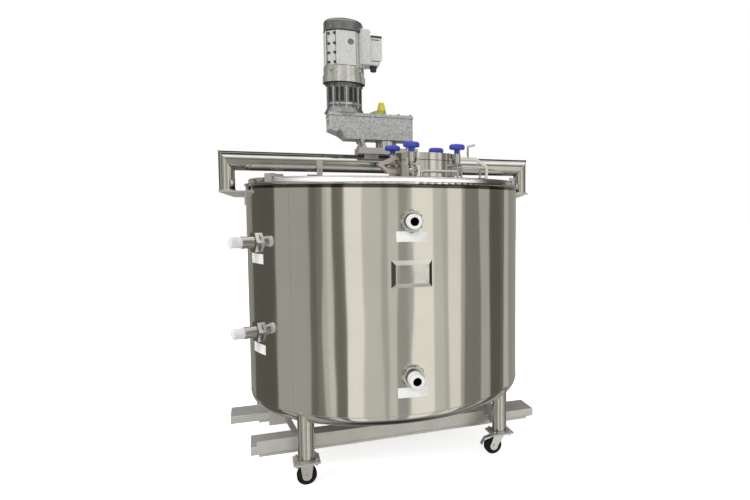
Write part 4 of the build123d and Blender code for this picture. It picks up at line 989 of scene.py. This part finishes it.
def build_fitting_welds(shape):
    for degrees, z in [port[:2] for port in FRONT_PORTS] + SIDE_NIPPLES:
        foot = hexagon_on_shell(degrees, z, FITTING_HALF_FLATS)
        tube(shape, foot, 1.5, ripple=0.04, up=(0, 0.3, 1))


add_piece("shell_weld_beads", build_shell_welds, weld_steel)
# The fittings' beads are dark with painted shade, which outlines each hexagon.
add_piece("fitting_weld_beads", build_fitting_welds, weld_painted_shade)
print("fittings welded:", len(FRONT_PORTS) + len(SIDE_NIPPLES))

# %% [markdown]
# Where a leg meets the round bottom, the bead follows the curve in which the pipe cuts the
# knuckle and the cone. The bottom's height at any distance from the axis gives that curve.

# %% Weld the legs
KNUCKLE_R = 45.0
CONE_SLOPE = math.radians(10.0)
LEG_SPOT = 410.0
LEG_R = 31.75
LEG_FOOT_Z = 98.5
CORNERS = [(x, y) for x in (-LEG_SPOT, LEG_SPOT) for y in (-LEG_SPOT, LEG_SPOT)]
BEAD_POINTS = 56


def bottom_height(reach):
    """The height of the tank's underside at a distance from its axis."""
    centre = SHELL_MM - KNUCKLE_R
    foot = centre + KNUCKLE_R * math.sin(CONE_SLOPE)
    if reach >= SHELL_MM:
        return KNUCKLE_Z
    if reach >= foot:
        return KNUCKLE_Z - math.sqrt(KNUCKLE_R**2 - (reach - centre) ** 2)
    drop = (foot - reach) * math.tan(CONE_SLOPE)
    return KNUCKLE_Z - KNUCKLE_R * math.cos(CONE_SLOPE) - drop


def build_leg_welds(shape):
    for x, y in CORNERS:
        points = []
        for step in range(BEAD_POINTS):
            t = 2 * math.pi * step / BEAD_POINTS
            px, py = x + LEG_R * math.cos(t), y + LEG_R * math.sin(t)
            points.append(at(px, py, bottom_height(math.hypot(px, py))))
        tube(shape, points, 3.0, ripple=0.12)
        tube(shape, circle_points(x, y, LEG_FOOT_Z, LEG_R + 0.5), 2.6, ripple=0.12)


add_piece("leg_weld_beads", build_leg_welds, weld_steel)
print("legs welded:", len(CORNERS))

# %% [markdown]
# The bridge is one pipe with mitred corners. The cut through a mitre is an ellipse, as high as
# the pipe and as wide as its leg, and the bead runs round it.

# %% Weld the bridge
BRIDGE_X = 681.5
PIPE_Z, PIPE_R = 1291.5, 41.3
BRACKET_TOP_Z = 1164.8


def build_bridge_welds(shape):
    for side in (-1, 1):
        points = []
        for step in range(BEAD_POINTS):
            t = 2 * math.pi * step / BEAD_POINTS
            x = side * (BRIDGE_X + LEG_R * math.cos(t))
            points.append(at(x, PIPE_R * math.sin(t), PIPE_Z + PIPE_R * math.cos(t)))
        tube(shape, points, 1.6, ripple=0.2)
        foot = circle_points(side * BRIDGE_X, 0, BRACKET_TOP_Z, LEG_R + 0.65)
        tube(shape, foot, 2.6, ripple=0.12)


add_piece("bridge_weld_beads", build_bridge_welds, weld_steel)
print("bridge welded")

# %% [markdown]
# ## Manway and covers
# The manway's neck is welded to the cover, and a black gasket shows as a line under its lid. Pins
# hold the four swing bolts in their lugs.

# %% Fit out the manway
MANWAY = (98.0, -330.0)
MANWAY_R = 127.6
LID_JOINT_Z = 1288.0
COVER_Z = 1213.8
LUG_TURNS = [9.6 + 90.0 * (k + 0.5) for k in range(4)]
PIN_REACH, PIN_Z, PIN_HALF = 145.5, 1243.0, 14.8


def build_manway_seal(shape):
    r = MANWAY_R
    profile = [(r - 1.6, -1.4), (r, -1.2), (r + 0.4, 0.0), (r, 1.2), (r - 1.6, 1.4)]
    lathe(shape, profile, aim(at(*MANWAY, LID_JOINT_Z), UP), steps=96)


def build_manway_weld(shape):
    tube(shape, circle_points(*MANWAY, COVER_Z + 0.8, MANWAY_R, 120), 2.2, ripple=0.12)


def build_pin_heads(shape):
    head = [(0, SUNK), (7.5, SUNK), (7.5, 2.0), (6.2, 3.2), (0, 3.2)]
    for degrees in LUG_TURNS:
        out, across = spoke(degrees)
        for side in (-1, 1):
            end = at(*MANWAY, PIN_Z) + (out * PIN_REACH + across * side * PIN_HALF) * MM
            lathe(shape, head, aim(end, across * side))


add_piece("manway_seal", build_manway_seal, seal_rubber_and_painted_shade)
add_piece("manway_weld_bead", build_manway_weld, weld_steel)
add_piece("swing_pin_heads", build_pin_heads, screw_steel)
print("manway fitted out, pins:", len(LUG_TURNS))

# %% [markdown]
# The two covers meet on hinges with socket screws, and the bent bars on the front cover stand in
# small welded feet.

# %% Fit out the covers
HINGES_X = (-480, -330, 330, 480)
BAR_FEET = [(45.0, -480.0), (199.0, -480.0), (276.0, -290.0), (363.0, -290.0), (380.9, -330.0)]


def build_hinge_screws(shape):
    for x in HINGES_X:
        for dx in (-15, 15):
            for dy in (-18, 18):
                socket_screw(shape, at(x + dx, dy, COVER_Z + 3.0), UP, 7.0)


def build_handle_feet(shape):
    foot = [(0, -0.3), (10.0, -0.3), (9.5, 1.6), (6.0, 2.6), (0, 2.6)]
    for x, y in BAR_FEET:
        lathe(shape, foot, aim(at(x, y, COVER_Z), UP))


add_piece("cover_hinge_screws", build_hinge_screws, screw_steel)
add_piece("cover_handle_feet", build_handle_feet, weld_steel)
print("covers fitted out, hinges:", len(HINGES_X))

# %% [markdown]
# ## The drive
# The motor is stacked from an adapter, an end bell, a body and a fan cover. Trim has to sit on
# the joints between them, so we read their heights from the CAD and not from a list of our own.

# %% Find the motor's joints
MOTOR_AT = (-187.0, 0.0)
ADAPTER_TOP, BELL_TOP, MOTOR_TOP, FAN_TOP = (
    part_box(name)[1].z / MM
    for name in ("motor_adapter", "motor_end_bell", "motor_body", "fan_cover")
)


def on_motor(z):
    return at(*MOTOR_AT, z)


print("motor joints at", round(ADAPTER_TOP), round(BELL_TOP), round(MOTOR_TOP), round(FAN_TOP))

# %% [markdown]
# The motor's body carries two side plates with two rows of bolts, as the photograph shows. A
# plate stands on the round body at an angle, so it is a block between two distances from the
# motor's axis.

# %% Bolt on the motor's side plates
PLATE_BEARINGS = (135, 225)
PLATE_REACH, PLATE_THICK, PLATE_WIDTH = 77.5, 4.0, 46.0


def build_motor_plates(shape):
    reaches = (PLATE_REACH, PLATE_REACH + PLATE_THICK)
    levels = (BELL_TOP + 6.0, MOTOR_TOP - 4.0)
    for degrees in PLATE_BEARINGS:
        out, side = spoke(degrees)
        corners = [
            on_motor(z) + (out * reach + side * across) * MM
            for reach in reaches
            for across in (-PLATE_WIDTH / 2, PLATE_WIDTH / 2)
            for z in levels
        ]
        block(shape, corners, 0.6)


def build_motor_plate_bolts(shape):
    for degrees in PLATE_BEARINGS:
        out, side = spoke(degrees)
        for share in (0.1, 0.36, 0.62, 0.9):
            level = on_motor(BELL_TOP + share * (MOTOR_TOP - BELL_TOP))
            for across in (-15.0, 16.0):
                spot = level + (out * (PLATE_REACH + PLATE_THICK) + side * across) * MM
                hex_bolt(shape, spot, out, 9.0)


add_piece("motor_side_plates", build_motor_plates, motor_pad_paint)
add_piece("motor_plate_bolts", build_motor_plate_bolts, dark_trim)
print("side plates:", len(PLATE_BEARINGS))

# %% [markdown]
# The adapter is a cage: one looks through its windows at the shaft in the dark. The CAD keeps it
# solid, so a thin panel of painted shade stands for each window, with a rib of light metal on
# either side.

# %% Open the adapter
WINDOWS = 8
WINDOW_LOW, WINDOW_HIGH = 1564.0, ADAPTER_TOP - 22.0
WINDOW_HALF, WINDOW_STEPS = 14.0, 6
ADAPTER_BACK, ADAPTER_FACE = 74.4, 75.4
RIB_FOOT_Z, RIB_REACH, RIB_TALL = 1522.0, 75.2, 123.0


def build_adapter_windows(shape):
    low, high = WINDOW_LOW, WINDOW_HIGH
    corners = ((ADAPTER_BACK, low), (ADAPTER_FACE, low), (ADAPTER_FACE, high), (ADAPTER_BACK, high))
    for middle in [22.5 + 45.0 * step for step in range(WINDOWS)]:
        rings = []
        for k in range(WINDOW_STEPS + 1):
            out, _ = spoke(middle + WINDOW_HALF * (2 * k / WINDOW_STEPS - 1))
            rings.append([shape.verts.new(on_motor(z) + out * reach * MM) for reach, z in corners])
        for first, second in zip(rings, rings[1:]):
            for a, b in ((0, 1), (1, 2), (2, 3), (3, 0)):
                shape.faces.new((first[a], second[a], second[b], first[b]))
        shape.faces.new(rings[0])
        shape.faces.new(list(reversed(rings[-1])))


def build_adapter_ribs(shape):
    for step in range(WINDOWS):
        out, _ = spoke(45.0 * step)
        foot = on_motor(RIB_FOOT_Z) + out * RIB_REACH * MM
        head = foot + Vector((0, 0, RIB_TALL * MM))
        tube(shape, [foot, head], 3.2, closed=False, up=(1, 0.3, 0))
    collar = [(74.5, -4.0), (77.8, -3.0), (77.8, 3.0), (74.5, 4.0)]
    lathe(shape, collar, aim(on_motor(1554.0), UP), 64)


def build_adapter_bolts(shape):
    for step in range(WINDOWS):
        out, _ = spoke(45.0 * (step + 1))
        hex_bolt(shape, on_motor(ADAPTER_TOP - 10.0) + out * 75.0 * MM, out, 10.0)


# The window panels are painted shade.
add_piece("adapter_windows", build_adapter_windows, seal_rubber_and_painted_shade)
add_piece("adapter_ribs", build_adapter_ribs, bell_paint)
add_piece("adapter_bolts", build_adapter_bolts, dark_paint)
print("adapter windows:", WINDOWS)

# %% [markdown]
# Dark lines mark where the housings meet. A groove can't be cut into the CAD, so each line is a
# black ring that stands a millimetre proud, and four upright lines frame the motor's flat pads.

# %% Draw the housings' joints
JOINTS = [(BELL_TOP + 0.2, 79.9), (MOTOR_TOP, 86.6), (ADAPTER_TOP, 90.3)]
GEARBOX_JOINT = ((-262.7, -75.7, 1498.6), (111.7, 75.7, 1500.4))
JOINT_CORE, JOINT_HALF = 70.0, 1.3


def build_dark_joints(shape):
    slab(shape, *GEARBOX_JOINT, edge=0.2)
    for z, radius in JOINTS:
        ring = [
            (JOINT_CORE, -JOINT_HALF), (radius, -JOINT_HALF),
            (radius, JOINT_HALF), (JOINT_CORE, JOINT_HALF),
        ]
        lathe(shape, ring, aim(on_motor(z), UP), 64)
    for degrees in (0, 90, 180, 270):
        out, side = spoke(degrees)
        for edge in (-42.4, 42.4):
            foot = on_motor(BELL_TOP + 5.0) + (out * 77.0 + side * edge) * MM
            head = foot + Vector((0, 0, (MOTOR_TOP - BELL_TOP - 10.0) * MM))
            tube(shape, [foot, head], 1.6, closed=False, up=(1, 0.3, 0))


add_piece("drive_joint_lines", build_dark_joints, seal_rubber_and_painted_shade)
print("joint lines drawn:", len(JOINTS) + 1, "rings")

# %% [markdown]
# The gearbox stands on four studs with nuts above and below, its cover is held by eight socket
# screws, and a turned boss closes the bore on its front.

# %% Fasten the gearbox
STUDS = [(x, y) for x in (-114, 114) for y in (-50, 50)]
NUTS_Z = ((1363.0, 1), (1399.0, -1))
GEARBOX_TOP = 1514.0


def build_gearbox_boss(shape):
    profile = [(0, -9.0), (16.0, -9.0), (16.0, 5.0), (14.5, 6.5), (9.0, 6.5), (8.0, 4.0), (0, 4.0)]
    lathe(shape, profile, aim(at(-221.0, -75.0, 1418.0), (0, -1, 0)), steps=40)


def build_mount_nuts(shape):
    nut = [(9.2, 0.0), (16.0, 0.0), (16.0, 11.0), (14.4, 12.4), (9.2, 12.4)]
    washer = [(9.2, 0.0), (18.5, 0.0), (18.5, 2.2), (9.2, 2.2)]
    for x, y in STUDS:
        for z, direction in NUTS_Z:
            lathe(shape, nut, aim(at(x, y, z), (0, 0, direction), 0.3), steps=6)
            lathe(shape, washer, aim(at(x, y, z), (0, 0, direction)))


def build_gearbox_screws(shape):
    for x in (-78, -16, 46, 100):
        for y in (-66, 66):
            socket_screw(shape, at(x, y, GEARBOX_TOP), UP, 12.0)


add_piece("gearbox_boss", build_gearbox_boss, dark_paint)
add_piece("mount_nuts", build_mount_nuts, screw_steel)
add_piece("gearbox_screws", build_gearbox_screws, screw_steel)
print("nuts on the studs:", len(STUDS) * len(NUTS_Z))

# %% [markdown]
# The fan cover is screwed on from the side and has a grille of rings and spokes on top. The
# terminal box has a screw near each corner, and a small round badge on the motor is blank.

# %% Fit out the motor
GRILLE_RINGS = (18, 28, 38, 48, 58)
GRILLE_SPOKES = 8
GRILLE_WIRE = 1.5
BADGE_DROP = 50.0
FAN_SCREW_REACH, FAN_SCREW_RISE = 85.5, 13.0
BELL_BOLT_REACH, BELL_BOLT_DROP = 89.0, 18.0
BOX_LID_X = -78.0
BOX_SCREWS = [(y, z) for z in (1748.0, 1880.0) for y in (-47.0, 47.0)]


def build_motor_screws(shape):
    for degrees in (45, 135, 225, 315):
        out, _ = spoke(degrees)
        on_cover = on_motor(MOTOR_TOP + FAN_SCREW_RISE) + out * FAN_SCREW_REACH * MM
        on_bell = on_motor(BELL_TOP - BELL_BOLT_DROP) + out * BELL_BOLT_REACH * MM
        socket_screw(shape, on_cover, out, 10.0)
        hex_bolt(shape, on_bell, out, 11.0)
    for y, z in BOX_SCREWS:
        socket_screw(shape, at(BOX_LID_X, y, z), (1, 0, 0), 8.0)


def build_fan_grille(shape):
    top = FAN_TOP + 0.4
    for radius in GRILLE_RINGS:
        tube(shape, circle_points(*MOTOR_AT, top, radius, 64), GRILLE_WIRE)
    for step in range(GRILLE_SPOKES):
        out, _ = spoke(360 * step / GRILLE_SPOKES)
        ends = [on_motor(top) + out * reach * MM for reach in (18, 60)]
        tube(shape, ends, GRILLE_WIRE, closed=False)


def build_motor_badge(shape):
    disc = [
        (0, 0), (13.0, 0), (13.0, 0.8), (12.0, 1.4), (10.6, 1.4), (10.2, 0.9), (0, 0.9),
    ]
    lathe(shape, disc, aim(at(-166.0, -83.0, MOTOR_TOP - BADGE_DROP), (0, -1, 0)), steps=40)


add_piece("motor_screws", build_motor_screws, screw_steel)
add_piece("fan_grille", build_fan_grille, dark_trim)
add_piece("motor_badge", build_motor_badge, dark_paint)
print("grille rings:", len(GRILLE_RINGS))

# %% [markdown]
# The terminal box has a dark band near its top, two ribs on its front and one cable gland below.
# The band and ribs are thin plates, and the gland is turned.

# %% Trim the terminal box
BOX_RIBS_Z = (1752.0, 1846.0)
BOX_BAND = ((-74.0, -51.0, 1857.0), (-24.0, 51.0, 1867.0))
GLAND_AT = (-58.0, -18.0, 1735.0)


def build_terminal_trim(shape):
    for z in BOX_RIBS_Z:
        slab(shape, (-70.0, -50.8, z), (-34.0, -49.5, z + 3.5), edge=0.5)
    slab(shape, *BOX_BAND)
    gland = [(0, -2), (17, -2), (17, 8), (14, 10), (14, 22), (10, 25), (0, 25)]
    lathe(shape, gland, aim(at(*GLAND_AT), (0, 0, -1)))


add_piece("terminal_box_trim", build_terminal_trim, dark_trim)
print("terminal box trimmed")

# %% [markdown]
# ## Fittings and plate
# The side nipples are threaded. A real thread is a spiral, but rings at its pitch look the same
# at this size and are simple to turn.

# %% Cut the threads
THREAD_START, THREAD_PITCH, THREAD_TURNS = 14.0, 2.2, 22
THREAD_ROOT, THREAD_CREST = 23.4, 24.5


def out_of_shell(degrees, z):
    """A place on the shell whose Z looks straight out of it."""
    t = math.radians(degrees)
    direction = Vector((math.sin(t), -math.cos(t), 0))
    return aim(on_drum(t, z * MM, SHELL_RADIUS), direction)


def build_threads(shape):
    ridges = []
    for step in range(THREAD_TURNS):
        level = THREAD_START + THREAD_PITCH * step
        ridges += [(THREAD_ROOT, level), (THREAD_CREST, level + THREAD_PITCH / 2)]
    ridges.append((THREAD_ROOT, THREAD_START + THREAD_PITCH * THREAD_TURNS))
    for place in SIDE_NIPPLES:
        lathe(shape, ridges, out_of_shell(*place), steps=32)


add_piece("fitting_threads", build_threads, polished_rod)
print("thread turns:", THREAD_TURNS)

# %% [markdown]
# The front ports end in white sleeves with raised rings, over grooves whose dark lines are painted
# shade.
# Their bores look black in the photograph, so a cup of painted shade lines each bore.

# %% Finish the front ports
def build_sleeve_rings(shape):
    inner = [(26.2, 35.0), (28.0, 35.2), (28.3, 37.0), (28.0, 39.5), (26.4, 40.0)]
    for degrees, z, end in FRONT_PORTS:
        place = out_of_shell(degrees, z)
        outer = [(26.3, end - 5.0), (27.6, end - 4.6), (27.6, end - 1.0), (26.4, end - 0.4)]
        lathe(shape, inner, place, steps=40)
        lathe(shape, outer, place, steps=40)


def build_grooves(shape):
    under_sleeve = [(26.4, 32.2), (29.6, 32.4), (29.6, 34.4), (26.4, 35.2)]
    on_body = [(28.5, 16.0), (31.0, 16.1), (31.0, 17.2), (28.8, 17.4)]
    for degrees, z, _ in FRONT_PORTS:
        lathe(shape, under_sleeve, out_of_shell(degrees, z), steps=40)
        lathe(shape, on_body, out_of_shell(degrees, z), steps=40)


def build_throats(shape):
    for degrees, z, end in FRONT_PORTS:
        lip = end - 3.0
        cup = [(0, 2.0), (16.3, 2.0), (16.3, lip), (16.0, lip), (16.0, 2.4), (0, 2.4)]
        lathe(shape, cup, out_of_shell(degrees, z), steps=40)


add_piece("sleeve_rings", build_sleeve_rings, white_cap)
add_piece("fitting_grooves", build_grooves, weld_painted_shade)
add_piece("port_throats", build_throats, throat_painted_shade)
print("front ports finished:", len(FRONT_PORTS))

# %% [markdown]
# White caps with three ribs close the side nipples, and four rivets hold the blank plate on its
# frame.

# %% Rib the caps and rivet the plate
CAP_RIBS = (66.0, 71.0, 76.0)
PLATE_BEARING, PLATE_Z = -2.4, 842.0
PLATE_PROUD = 16.2
RIVET_X, RIVET_Z = (-56.5, 56.5), (-30.0, 30.0)


def build_cap_rings(shape):
    for nipple in SIDE_NIPPLES:
        for mid in CAP_RIBS:
            rib = [(21.8, mid - 1.2), (22.9, mid - 0.8), (22.9, mid + 0.8), (21.8, mid + 1.2)]
            lathe(shape, rib, out_of_shell(*nipple), steps=32)


def build_rivets(shape):
    rivet = [(0, -0.3), (3.0, -0.3), (2.6, 0.7), (1.4, 1.2), (0, 1.3)]
    for dx in RIVET_X:
        t = math.radians(PLATE_BEARING) + dx / (SHELL_MM + 16.0)
        front = Vector((math.sin(t), -math.cos(t), 0))
        for dz in RIVET_Z:
            spot = on_drum(t, (PLATE_Z + dz) * MM, SHELL_RADIUS + PLATE_PROUD * MM)
            lathe(shape, rivet, aim(spot, front), steps=16)


add_piece("cap_rings", build_cap_rings, white_cap)
add_piece("nameplate_rivets", build_rivets, screw_steel)
print("rivets:", len(RIVET_X) * len(RIVET_Z))

# %% [markdown]
# ## Base
# Each wheel has a dark hub inside its black tyre. The hubs ride on the wheels, so they spin.

# %% Fit the hubs
WHEELS = [
    ("front_left", -410.0, -410.0),
    ("rear_left", -410.0, 410.0),
    ("front_right", 378.0, -410.0),
    ("rear_right", 378.0, 410.0),
]
AXLE_Z, HUB_FACE = 38.1, 15.0


def build_hub(shape, x, y):
    rim = [
        (12.9, 0.0), (17.5, 0.0), (17.5, 0.5), (16.6, 1.2), (15.8, 0.6), (14.5, 0.6), (12.9, 1.6),
    ]
    for side in (-1, 1):
        lathe(shape, rim, aim(at(x, y + side * HUB_FACE, AXLE_Z), (0, side, 0)), steps=40)


for wheel, x, y in WHEELS:
    body = f"wheel_{wheel}_body"
    add_piece(f"hub_{wheel}", lambda s: build_hub(s, x, y), hub_plastic, body)
print("hubs:", len(WHEELS))

# %% [markdown]
# Four bolts join each caster's plate to its leg's plate. A head shows above and a nut below, and
# both are the same small hexagon.

# %% Bolt the casters on
BOLT_REACH, BOLT_FLATS = 36, 8.0
PLATE_TOP_Z, CASTER_PLATE_Z = 103.0, 88.0


def build_caster_bolts(shape):
    for x, y in CORNERS:
        for dx in (-BOLT_REACH, BOLT_REACH):
            for dy in (-BOLT_REACH, BOLT_REACH):
                hex_bolt(shape, at(x + dx, y + dy, PLATE_TOP_Z), UP, BOLT_FLATS)
                hex_bolt(shape, at(x + dx, y + dy, CASTER_PLATE_Z), (0, 0, -1), BOLT_FLATS)


add_piece("caster_bolts", build_caster_bolts, screw_steel)
print("caster bolts:", 4 * len(CORNERS))

# %% [markdown]
# The low beams are closed sections with welded end caps, and their rails are stitched on.

# %% Weld the beams
BEAMS = [(-295.0, -1), (267.0, 1)]
BEAM_LOW, BEAM_HIGH = 97.0, 133.0
STITCHES_X = range(-560, 340, 150)
ENDS_X = (-414.0, 406.0)


def build_beam_welds(shape):
    for y_out, side in BEAMS:
        for x in STITCHES_X:
            stitch = [at(x + 4.0 * k, y_out, BEAM_HIGH - 0.5) for k in range(12)]
            tube(shape, stitch, 2.0, closed=False, ripple=0.15)
        for x in ENDS_X:
            outer = y_out + side * 6 if x < 0 else y_out
            for dx in (0.0, 8.0):
                line = [at(x + dx, outer, BEAM_LOW + 8 + 3.5 * k) for k in range(8)]
                tube(shape, line, 1.8, closed=False, ripple=0.15, up=(1, 0, 0))


add_piece("beam_weld_beads", build_beam_welds, weld_steel)
print("beams welded:", len(BEAMS))

# %% [markdown]
# ## Blank labels
# Four thin film labels stick to the shell. A flat plane would cut into the drum, so each label is
# a strip of small quads bent to the shell's radius, a hair proud of it.

# %% Stick the labels
LABEL_WIDTH, LABEL_TALL = 0.117, 0.040
LABEL_PROUD, LABEL_THICK = 0.0002, 0.0003
LABEL_STEPS = 14
LABEL_PLACES = [
    ("front_high", -2.4, 0.985),
    ("front_low", -2.4, 0.382),
    ("side_high", -69.5, 0.886),
    ("side_low", -69.5, 0.516),
]


def build_label(shape, degrees, z):
    inner = SHELL_RADIUS + LABEL_PROUD
    outer = inner + LABEL_THICK
    low, high = z - LABEL_TALL / 2, z + LABEL_TALL / 2
    rings = []
    for step in range(LABEL_STEPS + 1):
        turn = math.radians(degrees) + (step / LABEL_STEPS - 0.5) * LABEL_WIDTH / SHELL_RADIUS
        corners = ((inner, low), (outer, low), (outer, high), (inner, high))
        rings.append([shape.verts.new(on_drum(turn, level, reach)) for reach, level in corners])
    for first, second in zip(rings, rings[1:]):
        for a, b in ((0, 1), (1, 2), (2, 3), (3, 0)):
            shape.faces.new((first[a], second[a], second[b], first[b]))
    shape.faces.new(rings[0])
    shape.faces.new(list(reversed(rings[-1])))


for label, degrees, z in LABEL_PLACES:
    name = f"label_{label}"
    add_piece(name, lambda s: build_label(s, degrees, z), label_film)
print("labels:", len(LABEL_PLACES))
